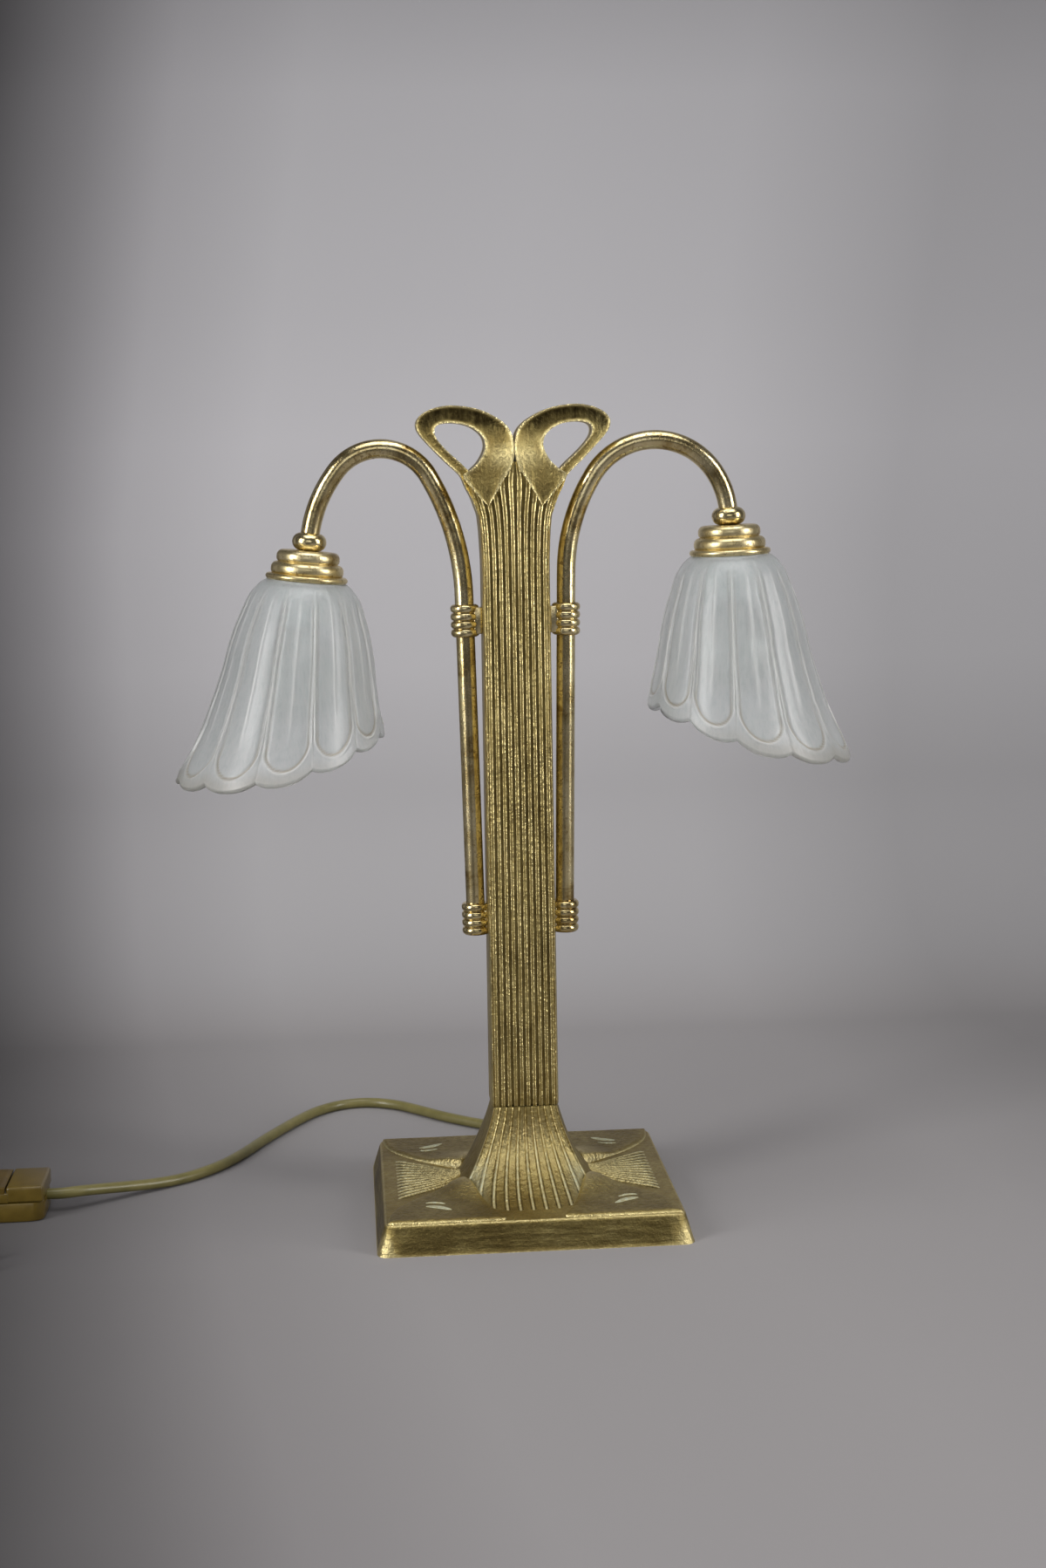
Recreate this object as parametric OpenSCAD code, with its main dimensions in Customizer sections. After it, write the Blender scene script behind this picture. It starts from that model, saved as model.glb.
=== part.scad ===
// Two-arm brass table lamp with pressed glass tulip shades.
// Millimetres, +Z up, the fluted front faces -Y, the arms reach out along X.
// The origin is the centre of the foot's underside.

/* [Foot] */
// Width of the foot where it stands
foot_w = 165; // [150:1:190]
// Depth of the foot where it stands
foot_d = 155; // [145:1:180]
// Height of the plinth's edge
plinth_h = 15.5; // [15:0.5:20]
// How far the plinth's walls lean in from bottom to top
plinth_lean = 4.5; // [2:0.5:7]
// Corner radius of the plinth
plinth_corner = 6; // [4:0.5:12]
// Wall of the hollow foot casting
foot_wall = 3.5; // [2.5:0.25:5]
// Thickness of the raised corner leaves
leaf_rise = 1.6; // [1:0.2:3]
// Ribs in the fan on each side of the foot
fan_ribs = 13; // [7:2:17]
// Thickness of the steel sole plate
sole_t = 1.5; // [1:0.25:3]
// Thickness of the felt under the sole plate
felt_t = 1.5; // [1:0.25:2]

/* [Column] */
// Height of the seam between foot and column
seam_z = 58; // [52:1:75]
// Width of the column
column_w = 36; // [32:0.5:42]
// Depth of the column, front to back
column_d = 26; // [24:0.5:32]
// Radius of the column's upright corners
column_corner = 5; // [3:0.5:8]
// Flutes across the front, and across the back
flutes = 10; // [6:1:14]
// Depth of the flutes
flute_depth = 0.9; // [0.5:0.1:1.4]
// Height of the column's top edge, between the two bows
column_top = 402; // [380:1:440]
// Diameter of the wire channel up the column
channel_d = 17; // [12:0.5:18]

/* [Bows] */
// Half depth of the bows at their tops
bow_half_depth = 8; // [6:0.5:12]
// Half depth of the pointed leaves, where they lap the column
leaf_half_depth = 14.2; // [13.6:0.1:17]
// How deep the bands are dished between their rims
bow_dish = 1.6; // [0.8:0.1:2.4]

/* [Arms] */
// Outer diameter of the arm tubes
tube_d = 10; // [9:0.5:12]
// Wall of the arm tubes
tube_wall = 1; // [0.8:0.1:1.5]
// Distance from the column's axis to each tube, at the lower collars
tube_x = 24; // [23:0.25:28]
// Outward lean of the upright tubes, in degrees
tube_lean = 1; // [0:0.25:2]
// Height of the lower collars' middle
low_collar_z = 160; // [120:1:200]
// Height of the upper collars' middle
high_collar_z = 320; // [280:1:325]
// Diameter of the collars over their ribs
collar_d = 15; // [14:0.5:17]
// Length of the collars
collar_len = 17; // [14:0.5:22]
// Ribs round each collar
collar_ribs = 4; // [3:1:5]
// Width of the lugs that carry the collars
lug_w = 10; // [8:0.5:13]
// Left arm: height where the bend begins
left_rise_z = 333; // [331:1:345]
// Left arm: radius of the first, wide bend
left_rise_r = 130; // [110:1:150]
// Left arm: angle of the first bend
left_rise_turn = 29; // [24:0.5:34]
// Left arm: radius of the bend over the top
left_top_r = 29; // [26:0.5:36]
// Left arm: angle of the bend over the top
left_top_turn = 111; // [100:0.5:116]
// Left arm: radius of the last bend
left_drop_r = 70; // [50:1:90]
// Left arm: outward tilt of the shade, in degrees
left_hang = 6; // [0:0.5:10]
// Right arm: height where the bend begins
right_rise_z = 345; // [331:1:355]
// Right arm: radius of the first, wide bend
right_rise_r = 97; // [85:1:130]
// Right arm: angle of the first bend
right_rise_turn = 31; // [25:0.5:36]
// Right arm: radius of the bend over the top
right_top_r = 38.5; // [34:0.5:44]
// Right arm: angle of the bend over the top
right_top_turn = 114.5; // [105:0.5:120]
// Right arm: radius of the last bend
right_drop_r = 45; // [38:1:60]
// Right arm: outward tilt of the shade, in degrees
right_hang = 2; // [0:0.5:10]

/* [Fitters] */
// Diameter of the ball at each tube's end
ball_d = 18; // [16:0.5:22]
// Height of the flattened ball
ball_h = 9.4; // [8:0.2:12]
// Diameter of the fitter's top step
fitter_d1 = 33; // [32:0.5:35]
// Diameter of the fitter's middle step
fitter_d2 = 38; // [37:0.5:40]
// Diameter of the fitter's rim
fitter_d3 = 43; // [42:0.5:46]
// Height of each of the two steps
step_h = 6.3; // [5:0.1:8]
// Height of the rim under the steps
rim_h = 3.2; // [2:0.1:4]
// Thickness of the spun fitter
fitter_wall = 1; // [0.6:0.1:1.4]
// Outer diameter of the threaded nipple
nipple_d = 10; // [9:0.5:10]
// Outer diameter of the lampholder
holder_d = 28; // [26:0.5:30]
// Height of the lampholder
holder_h = 36; // [32:1:42]
// Outer diameter of the shade ring
shade_ring_d = 36; // [35:0.5:40]

/* [Shades] */
// Thickness of the glass
glass_wall = 3.2; // [2.4:0.1:4]
// Radius of the glass shoulder, just under the fitter
shoulder_r = 28.3; // [27:0.1:34]
// Radius of the mouth at its widest
mouth_r = 60.5; // [54:0.5:70]
// Length of the shade below the fitter's rim, at its middle
shade_len = 96; // [88:1:110]
// How much the mouth slants: extra length outwards and missing length inwards
mouth_slant = 14.8; // [0:0.2:18]
// Petals round the mouth
petals = 12; // [8:1:14]
// Depth of the notches between the petals
petal_notch = 3.6; // [1:0.2:6]
// Height of the raised line between two petals
petal_line = 0.9; // [0.4:0.1:1.4]
// Left shade turned about its own axis, in degrees
left_shade_turn = 3; // [-15:1:15]
// Right shade turned about its own axis, in degrees
right_shade_turn = -5; // [-15:1:15]

/* [Bulbs] */
// Diameter of the bulb's globe
globe_d = 45; // [40:1:50]
// Length of the bulb over all
bulb_len = 72; // [68:1:78]
// Diameter of the bulb's screw cap
cap_d = 13.9; // [13:0.1:14]

/* [Cord and switch] */
// Diameter of the round mains cord
cord_d = 6; // [5:0.25:6.25]
// Length of the cord switch
switch_l = 64; // [60:1:72]
// Width of the cord switch
switch_w = 34; // [30:1:40]
// Height of the cord switch
switch_h = 20; // [18:0.5:24]
// Wall of the switch shells
switch_wall = 2; // [1.6:0.1:2.6]
// Length of the rocker
rocker_l = 22; // [18:0.5:24]
// Angle that the rocker turns between off and on
rocker_throw = 14; // [10:1:14]
// Length of the plug's body
plug_l = 36; // [30:1:40]
// Width of the plug's body at its face
plug_w = 34; // [30:1:36]
// Thickness of the plug's body
plug_t = 14; // [12:0.5:14]
// Diameter of the plug's pins
plug_pin_d = 4; // [3.8:0.1:4.8]
// Length of the plug's pins
plug_pin_l = 19; // [16:0.5:20]
// Distance between the plug's pins
plug_pin_gap = 18.6; // [17.5:0.1:19.2]
// Radius of the coil's outermost turn
coil_r = 42; // [40:0.5:46]
// Turns of the coil
coil_turns = 6.5; // [5.5:1:6.5]

/* [Hidden] */
$fn = 64;
LEFT = 0;
RIGHT = 1;
slip = 0.05;        // radial clearance of screwed, sliding and running fits
seat = 0.3;         // gap between parts that only rest against each other
eps = 0.01;
lap = 0.2;          // how far a bend's ends run into the straights beside it
lap_step = 0.02;    // how much thinner every second piece of a bent bar is

// the foot
plinth_top_w = foot_w - 2 * plinth_lean;
plinth_top_d = foot_d - 2 * plinth_lean;
plinth_bend = plinth_h - 2;                 // the plinth's top edge is eased above this
sole_w = foot_w - 2 * foot_wall - 2;
sole_d = foot_d - 2 * foot_wall - 2;
sole_top = felt_t + sole_t;
boss_x = sole_w / 2 - 9;
boss_y = sole_d / 2 - 9;
boss_r = 4.5;
screw_r = 1.6;
screw_head_r = 3.4;
screw_len = 7;
fan_half = 34;                              // half width of the fans at the foot's edges
fan_edge = 7;                               // plain border outside the fans
trumpet_side = column_w / 2 + 24;           // reach of the trumpet to the sides
trumpet_front = plinth_top_d / 2 - 11;      // reach of the trumpet to the front
ridge_top = [column_w / 2 - 1, column_d / 2 - 1];
ridge_foot = [column_w / 2 + 16, column_d / 2 + 6.5];
web_z = seam_z - 10;                        // underside of the web that the nut bears on
mark_size = 12;

// the rod that joins foot and column
rod_d = nipple_d;
rod_bore = 6.8;
rod_grip = 18;                              // length screwed into the column
washer_t = 2;
nut_h = 8;
nut_w = 16;
rod_z0 = web_z - washer_t - nut_h - 2;
channel_z0 = seam_z + rod_grip + 1;

// arms, as lists with the left one first
bore_r = tube_d / 2 - tube_wall;
rise_z = [left_rise_z, right_rise_z];
hang = [left_hang, right_hang];
shade_turn = [left_shade_turn, right_shade_turn];
tube_foot_z = low_collar_z - collar_len / 2 + 2.5;
rib_r = collar_len / collar_ribs / 2;
lug_h = collar_len - 3;
wire_d = 2.8;
wire_x = 1.7;
wire_turn_r = 4;
block_h = 10.5;
block_w = 17;
block_d = 15;
lug_bore_r = 2.4;

function tube_axis_x(z) = tube_x + (z - low_collar_z) * tan(tube_lean);
function bends(i) = i == LEFT
    ? [[left_rise_r, left_rise_turn], [left_top_r, left_top_turn],
       [left_drop_r, 180 - tube_lean - left_rise_turn - left_top_turn - left_hang]]
    : [[right_rise_r, right_rise_turn], [right_top_r, right_top_turn],
       [right_drop_r, 180 - tube_lean - right_rise_turn - right_top_turn - right_hang]];
function upright(i, z0) = [[round((rise_z[i] - z0) / cos(tube_lean) * 100) / 100, 0]];

// levels under the ball's centre, measured down the fitter's own axis
fitter_s = ball_h / 2;
rim_s = fitter_s + 2 * step_h + rim_h;
locknut_s = fitter_s + fitter_wall + slip;
locknut_h = 3;
holder_s = locknut_s + locknut_h + slip;
holder_cap_h = 15;
holder_split_s = holder_s + holder_cap_h;
holder_end_s = holder_s + holder_h;
holder_floor_s = holder_split_s - 4;
nipple_end_s = holder_s + 7;
glass_top_s = rim_s - 2.2;
glass_hole_r = holder_d / 2 + 0.6;
ring_s = glass_top_s + glass_wall + seat;
ring_h = 5.5;
shell_r = cap_d / 2 + slip;
shell_wall = 0.5;
shell_s = holder_floor_s + 2.5;
cap_s = shell_s + 0.8;
cap_h = 21;
globe_s = cap_s + bulb_len - globe_d / 2;
globe_wall = 0.8;
bulb_neck_r = 9;

// the tulip's outline: share of its length below the shoulder, share of its flare
flare = [[0, 0], [0.045, 0.084], [0.09, 0.159], [0.18, 0.252], [0.32, 0.346], [0.43, 0.414],
         [0.51, 0.47], [0.61, 0.564], [0.72, 0.682], [0.8, 0.77], [0.88, 0.894], [0.95, 0.99],
         [1, 1]];
shoulder_s = rim_s + 8;
mid_s = rim_s + shade_len;
petal_steps = [0, 0.1, 0.3, 0.5, 0.7, 0.9];
body_shares = [0, 0.1, 0.22, 0.36, 0.5, 0.64, 0.77, 0.88, 0.96, 1];

// a bow seen from the front, from the cleft between the leaves over the top and down the side;
// x, and z above the column's top edge
bow_top = [[-0.6, 1], [-0.6, 12], [2.9, 17], [7.2, 21.3], [14, 25.6], [25.5, 29], [33, 29.7], [42, 28],
           [48, 25.3], [50.8, 21], [47.2, 12.8], [41, 6.3], [35, 0], [27.3, -6.7]];
bow_side = [[27.3, -6.7], [25.4, -12], [22.4, -18], [20, -24], [18.6, -31], [17.6, -52]];
bow_eye = [[15.1, 8.5], [17, 14], [21.4, 17.8], [27.5, 20.1], [34, 20.7], [39, 19.9], [41.2, 17],
           [39, 11], [32.6, 4.6], [25.5, -2.2], [21.5, -2.6], [17, 2.6]];
leaf_out = [[14, -22.3], [20.5, -16], [25, -10], [27, -6.5]];
leaf_up = [[27, -6.5], [21.5, -3.2], [17, 2.6], [14.8, 8.5], [16, 13.4], [20, 17.2], [16, 25.4]];
leaf_back = [[16, 25.4], [9, 21.4], [3.4, 16.6], [0.3, 11], [0.3, 2]];
leaf_in = [[0.3, 2], [4.4, -6.5], [9.3, -14.5], [14, -22.3]];
bow_rim = 1.9;                              // width of the rims along the bands' edges
leaf_side = [[leaf_half_depth - 0.8, -40], [leaf_half_depth, -20], [leaf_half_depth, -4],
             [leaf_half_depth - 1, 4], [bow_half_depth + 2.6, 11], [bow_half_depth + 0.5, 20],
             [bow_half_depth + 0.5, 30]];

// cord and switch
wall_exit_z = 7.6;
bushing_r = 4;
bushing_flange_r = 5.6;
relief_len = 25;
relief_y = foot_d / 2 - plinth_lean / 2 + 1.2;
relief_end_y = foot_d / 2 + relief_len + 0.5;
switch_pos = [-293, 18, 0];
switch_split = 11;
switch_corner = 7;
rocker_pin_d = 2.4;
rocker_pivot = 5.5;                         // depth of the pivot below the switch's top
saddle = 3.2;                               // depth of the switch's notch under the rocker
rocker_end_gap = 1;
post_r = 3.6;
post_screw_r = 1.3;
post_head_r = 2.5;
post_head = 0.8;                            // how deep the screw heads are sunk
rocker_core_w = switch_w - 2 * switch_wall - 6;
coil_centre = [-379, -24];
coil_gap = 0.6;                             // free space between neighbouring turns
plug_axis_z = 7;
plug_face_x = -300;
plug_y = -66;
plug_hole = 8;                              // how deep the pins sit in the plug

// routes of the free cord, hand-laid on the table: x, y, height of the cord's centre
lamp_route = [[0, 103, 7.6], [0, 110, 7.6], [-1, 118, 6.6], [-6, 127, 4.6], [-15, 136, 3.3],
    [-27, 146, 3.1], [-40, 158, 3.1], [-53, 172, 3.1], [-67, 185, 3.1], [-84, 192, 3.1],
    [-101, 189, 3.1], [-115, 178, 3.1], [-126, 162, 3.1], [-137, 142, 3.1], [-148, 120, 3.1],
    [-158, 98, 3.1], [-168, 80, 3.1], [-180, 65, 3.1], [-193, 54, 3.2], [-207, 45, 4.2],
    [-220, 37, 6], [-232, 29, 8], [-243, 22, 9.6], [-253, 18, 10], [-261, 18, 10]];
lead_route = [[-325, 18, 10], [-332, 18, 10], [-342, 18, 8.5], [-352, 18, 5.2], [-362, 18, 3.3],
    [-372, 18, 3.1]];
tail_route = [[-372, -66, 9.7], [-362, -66, 9.4], [-352, -66, 8], [-344, -66, 7], [-336, -66, 7]];

brass = "#b08d3f";
polished = "#d8b455";
gold_plastic = "#a8791c";
cord_pvc = "#8f8432";

// ---------- helpers ----------

// A smooth curve through p, with n steps from each point to the next.
function curve(p, n) = concat(
    [for (i = [0 : len(p) - 2]) for (k = [0 : n - 1])
        let (t = k / n, a = p[max(i - 1, 0)], b = p[i], c = p[i + 1], d = p[min(i + 2, len(p) - 1)])
        b + 0.5 * t * (c - a) + t * t * (a - 2.5 * b + 2 * c - 0.5 * d)
          + 0.5 * t * t * t * (3 * b - a - 3 * c + d)],
    [p[len(p) - 1]]);

// One closed outline from curves that each end where the next begins.
function outline(curves, n) = [for (p = curves) let (c = curve(p, n)) for (k = [0 : len(c) - 2]) c[k]];

function unit(v) = v / norm(v);
function ease(t) = let (u = min(max(t, 0), 1)) u * u * (3 - 2 * u);
function mix(a, b, t) = a + (b - a) * t;
function reach(p, i = 1) = i >= len(p) ? 0 : norm(p[i] - p[i - 1]) + reach(p, i + 1);

// A closed skin over rings of equal length. A wrapped skin joins its last ring to its first.
module skin(rings, wrap = false) {
    m = len(rings);
    n = len(rings[0]);
    last = wrap ? m - 1 : m - 2;
    sides = [for (i = [0 : last]) for (k = [0 : n - 1])
        let (a = i * n, b = ((i + 1) % m) * n, q = (k + 1) % n)
        each [[a + k, b + k, b + q], [a + k, b + q, a + q]]];
    caps = wrap ? [] : [[for (k = [0 : n - 1]) k], [for (k = [n - 1 : -1 : 0]) (m - 1) * n + k]];
    polyhedron([for (r = rings) each r], concat(sides, caps), convexity = 10);
}

// A round cord along its route: rings stand square to the path.
module cord(route, d, sides, aside = [0, 0, 1]) {
    n = len(route);
    skin([for (i = [0 : n - 1])
        let (t = unit(route[min(i + 1, n - 1)] - route[max(i - 1, 0)]),
             side = unit(cross(t, aside)), up = cross(side, t))
        [for (k = [0 : sides - 1])
            let (a = 360 * (k + 0.5) / sides)
            route[i] + d / 2 * (cos(a) * up + sin(a) * side)]]);
}

module mirrored(i) {
    if (i == LEFT) mirror([1, 0, 0]) children();
    else children();
}

// One bend of a round bar, from the origin up and over towards +X.
module bend(bend_r, turn, r, before = 0, after = 0) {
    per = 180 / PI / bend_r;
    translate([bend_r, 0, 0]) rotate([90, 0, 0]) rotate([0, 0, 180 - turn - after * per])
        rotate_extrude(angle = turn + (before + after) * per) translate([bend_r, 0]) circle(r);
}

// Moves to the end of a run of straights [length, 0] and bends [radius, angle].
module at_end(run, i = 0) {
    if (i == len(run)) children();
    else if (run[i][1] == 0) translate([0, 0, run[i][0]]) at_end(run, i + 1) children();
    else translate([run[i][0], 0, 0]) rotate([0, run[i][1], 0]) translate([-run[i][0], 0, 0])
        at_end(run, i + 1) children();
}

// A round bar along such a run. Every second piece is a hair thinner and laps into its neighbours.
module bar(run, r, i = 0) {
    if (i < len(run)) {
        thin = i % 2;
        before = thin == 1 ? lap : 0;
        after = thin == 1 && i < len(run) - 1 ? lap : 0;
        if (run[i][1] == 0) translate([0, 0, -before])
            cylinder(h = run[i][0] + before + after, r = r - thin * lap_step);
        else bend(run[i][0], run[i][1], r - thin * lap_step, before, after);
        at_end([run[i]]) bar(run, r, i + 1);
    }
}

// Points along such a run in the XZ plane, from p and turned a degrees away from +Z.
function trace(run, p, a, i = 0) =
    i == len(run) ? [[p[0], 0, p[1]]]
    : let (r = run[i][0], turn = run[i][1], s = sign(turn), n = ceil(abs(turn) / 15),
           c = p + s * r * [cos(a), -sin(a)],
           arc = [for (k = [0 : max(n, 1) - 1]) let (b = a + turn * k / max(n, 1))
               c - s * r * [cos(b), -sin(b)]],
           next = turn == 0 ? p + r * [sin(a), cos(a)] : c - s * r * [cos(a + turn), -sin(a + turn)])
      concat([for (q = turn == 0 ? [p] : arc) [q[0], 0, q[1]]], trace(run, next, a + turn, i + 1));

// Puts its children where arm i starts, inside the lower collar.
module at_tube_foot(i) {
    mirrored(i) translate([tube_axis_x(tube_foot_z), 0, tube_foot_z])
        rotate([0, tube_lean, 0]) children();
}

// Puts its children at the ball of arm i, with +Z down the shade's axis and -X outwards.
module at_ball(i) {
    at_tube_foot(i) at_end(concat(upright(i, tube_foot_z), bends(i))) children();
}

module round_box(w, d, h, r) {
    linear_extrude(h) rounded(w, d, r);
}

module rounded(w, d, r) {
    square([w - 2 * r, d], center = true);
    square([w, d - 2 * r], center = true);
    for (x = [-1, 1], y = [-1, 1]) translate([x * (w / 2 - r), y * (d / 2 - r)]) circle(r);
}

// ---------- foot ----------

// The plinth's outline at height z, drawn in by inset.
module plinth_slice(z, inset) {
    lean = plinth_lean * z / plinth_h;
    translate([0, 0, z])
        round_box(foot_w - 2 * lean - 2 * inset, foot_d - 2 * lean - 2 * inset, eps,
                  plinth_corner, $fn = 32);
}

module plinth() {
    hull() {
        plinth_slice(0, 0);
        plinth_slice(plinth_bend, 0);
        plinth_slice(plinth_h - eps, 0.8);
    }
}

module plinth_hollow() {
    hull() {
        plinth_slice(-eps, foot_wall);
        plinth_slice(plinth_h - foot_wall, foot_wall);
    }
}

// Half of the trumpet's outline at height z, right side: flutes in front, smooth at the side.
function trumpet_ring(z) =
    let (u = (seam_z - z) / (seam_z - plinth_h), g = 1 - sqrt(max(0, 1 - u * u * u)),
         ridge = [mix(ridge_top[0], ridge_foot[0], pow(u, 1.3)), mix(ridge_top[1], ridge_foot[1], u)],
         front = mix(column_d / 2, trumpet_front, g),
         side = column_w / 2 + (trumpet_side - column_w / 2) * (u + g) / 2,
         per = 4, n = flutes * per,
         face = [for (k = [0 : n]) let (v = 2 * k / n - 1,
             groove = flute_depth * (0.5 - 0.5 * cos(360 * k / per)) * (1 + 0.4 * sin(180 * u)))
             [v * ridge[0], -(ridge[1] + (front - ridge[1]) * (1 - pow(abs(v), 4)) - groove)]],
         flank = [for (k = [1 : 6]) let (v = 2 * k / 7 - 1)
             [ridge[0] + (side - ridge[0]) * (1 - v * v), v * ridge[1]]])
    [for (p = concat(face, flank, -face, -flank)) [p[0], p[1], z]];

module trumpet() {
    low = trumpet_ring(plinth_h + 0.9);
    skin(concat([[for (p = low) [p[0], p[1], plinth_h - 2]], low],
                [for (k = [8 : -1 : 0]) let (t = k / 9)
                    trumpet_ring(mix(seam_z, plinth_h + 0.9, ease(t) * 0.45 + t * 0.55))]));
}

// A raised leaf in the front right corner: plain edges along the plinth, a hollow curve to the side.
module corner_leaf() {
    x = plinth_top_w / 2 - 1.2;
    y = plinth_top_d / 2 - 1.2;
    toe = ridge_foot + [-2.5, -0.5];
    difference() {
        translate([0, 0, plinth_h - 1]) linear_extrude(1 + leaf_rise)
            polygon([for (p = concat(curve([[x, y], [x - 2, y - 16], [x - 9, y - 29], [x - 22, y - 44],
                                            [x - 32, y - 52], [toe[0] + 4, toe[1] - 11]], 4),
                                     [toe, [19, y - 4], [32, y], [x, y]])) [p[0], -p[1]]]);
        translate([x - 28, -y + 19, plinth_h + leaf_rise - 0.7]) rotate([0, 0, 20]) linear_extrude(2)
            polygon([[-mark_size / 2, -mark_size * 0.3], [mark_size / 2, -mark_size * 0.2],
                     [-mark_size * 0.15, mark_size * 0.4]]);
    }
}

// One fold line of the pleated fan, from the neck out to the foot's edge, with the plain floor under it.
function fan_fold(v, up) =
    let (x0 = ridge_foot[0] + 1, x1 = plinth_top_w / 2 - fan_edge, swell = 1.4 - 0.6 * v * v,
         line = [[x0, 7, 0.9 * swell + 0.3 * up],
                 [(x0 + x1) / 2, (7 + fan_half) / 2, 0.65 * swell + 0.8 * up],
                 [x1, fan_half, 0.3 * swell + 1.1 * up]])
    concat([for (p = line) [p[0], v * p[1], plinth_h + p[2]]],
           [for (k = [2, 0]) [line[k][0], v * line[k][1], plinth_h - 1]]);

// The fan of ribs on the right side of the foot.
module side_fan() {
    skin([for (k = [0 : 2 * fan_ribs]) fan_fold(k / fan_ribs - 1, k % 2)]);
}

module foot() {
    color(brass) difference() {
        union() {
            difference() {
                union() {
                    plinth();
                    trumpet();
                }
                plinth_hollow();
                translate([0, 0, plinth_h - foot_wall - eps])
                    cylinder(h = web_z - plinth_h + foot_wall + eps, r1 = 20, r2 = nut_w / 2 + 1.6);
            }
            corner_leaf();
            mirror([1, 0, 0]) corner_leaf();
            mirror([0, 1, 0]) corner_leaf();
            mirror([1, 0, 0]) mirror([0, 1, 0]) corner_leaf();
            side_fan();
            mirror([1, 0, 0]) side_fan();
            for (x = [-1, 1], y = [-1, 1]) translate([x * boss_x, y * boss_y, sole_top + slip])
                cylinder(h = plinth_h - foot_wall - sole_top, r = boss_r);
        }
        for (x = [-1, 1], y = [-1, 1]) translate([x * boss_x, y * boss_y, 0])
            cylinder(h = sole_top + screw_len + 0.5, r = screw_r + slip);
        translate([0, 0, web_z - 1]) cylinder(h = seam_z - web_z + 2, r = rod_d / 2 + slip);
        translate([0, foot_d / 2 - 14, wall_exit_z]) rotate([-90, 0, 0])
            cylinder(h = 20, r = bushing_r + slip);
    }
}

module sole_plate() {
    color("#6c6a66") difference() {
        translate([0, 0, felt_t]) round_box(sole_w, sole_d, sole_t, plinth_corner);
        for (x = [-1, 1], y = [-1, 1]) translate([x * boss_x, y * boss_y, felt_t - eps])
            cylinder(h = sole_t + 2 * eps, r1 = screw_head_r + slip, r2 = screw_r + slip);
    }
}

module sole_screws() {
    color("#8f8f8f") for (x = [-1, 1], y = [-1, 1]) translate([x * boss_x, y * boss_y, felt_t]) {
        cylinder(h = sole_t, r1 = screw_head_r, r2 = screw_r);
        cylinder(h = sole_t + screw_len, r = screw_r);
    }
}

module felt_pad() {
    color("#2f4a36") round_box(sole_w - 2, sole_d - 2, felt_t, plinth_corner);
}

module tie_rod() {
    color("#a9a9a0") translate([0, 0, rod_z0]) difference() {
        cylinder(h = seam_z + rod_grip - rod_z0, r = rod_d / 2);
        translate([0, 0, -eps]) cylinder(h = seam_z + rod_grip, r = rod_bore / 2);
    }
}

module tie_washer() {
    color("#a9a9a0") translate([0, 0, web_z - washer_t]) difference() {
        cylinder(h = washer_t, r = nut_w / 2 + 1);
        translate([0, 0, -eps]) cylinder(h = washer_t + 1, r = rod_d / 2 + slip);
    }
}

module tie_nut() {
    color("#a9a9a0") translate([0, 0, web_z - washer_t - nut_h]) difference() {
        cylinder(h = nut_h, d = nut_w / cos(30), $fn = 6);
        translate([0, 0, -eps]) cylinder(h = nut_h + 1, r = rod_d / 2 + slip);
    }
}

module terminal_block() {
    color("#e9e6da") translate([0, 0, sole_top]) difference() {
        translate([-block_w / 2, -block_d / 2, 0]) cube([block_w, block_d, block_h]);
        for (x = [-1, 1]) translate([x * (block_w / 2 - 3.1), 0, block_h - 4]) cylinder(h = 5, r = 1.7);
    }
}

// ---------- column ----------

// The column's section: a rounded bar with flutes down its front and back.
module column_section() {
    pitch = (column_w - 4) / flutes;
    r = (pow(pitch * 0.36, 2) + pow(flute_depth, 2)) / (2 * flute_depth);
    difference() {
        rounded(column_w, column_d, column_corner);
        for (k = [0 : flutes - 1], y = [-1, 1])
            translate([(k + 0.5) * pitch - (column_w - 4) / 2, y * (column_d / 2 + r - flute_depth)])
                circle(r, $fn = 40);
    }
}

module bow_shape() {
    difference() {
        polygon(concat(outline([bow_top, bow_side], 3), [[17.6, -52], [6, -52], [6, -10]]));
        polygon(outline([concat(bow_eye, [bow_eye[0]])], 3));
    }
}

module leaf_shape() {
    polygon(outline([leaf_out, leaf_up, leaf_back, leaf_in], 3));
}

module upright_slab(half) {
    translate([0, 0, column_top]) rotate([90, 0, 0]) linear_extrude(2 * half, center = true, convexity = 6)
        children();
}

// The leaf's thickness seen from the side, drawn in by inset.
module leaf_block(inset) {
    translate([-1, 0, column_top]) rotate([90, 0, 90]) linear_extrude(30)
        polygon(concat([for (p = leaf_side) [p[0] - inset, p[1]]],
                       [for (k = [len(leaf_side) - 1 : -1 : 0]) [inset - leaf_side[k][0], leaf_side[k][1]]]));
}

// One of the two looped bows. Its band is dished between rims, in front and behind.
module bow() {
    difference() {
        upright_slab(bow_half_depth) bow_shape();
        for (y = [-1, 1]) translate([0, y * bow_half_depth, 0])
            upright_slab(bow_dish) offset(delta = -bow_rim) bow_shape();
    }
    intersection() {
        upright_slab(leaf_half_depth + 1) leaf_shape();
        leaf_block(bow_dish);
    }
    intersection() {
        upright_slab(leaf_half_depth + 1) difference() {
            leaf_shape();
            offset(delta = -bow_rim) leaf_shape();
        }
        leaf_block(0);
    }
}

module column() {
    color(brass) difference() {
        union() {
            translate([0, 0, seam_z]) linear_extrude(column_top - seam_z, convexity = 10) column_section();
            bow();
            mirror([1, 0, 0]) bow();
        }
        translate([0, 0, seam_z - eps]) cylinder(h = rod_grip + 2, r = rod_d / 2 + slip);
        translate([0, 0, channel_z0]) cylinder(h = column_top - 60 - channel_z0, r = channel_d / 2);
        for (i = [LEFT, RIGHT]) mirrored(i) translate([0, 0, low_collar_z]) rotate([0, 90, 0])
            cylinder(h = column_w, r = lug_bore_r);
    }
}

// ---------- collars and arms ----------

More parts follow.
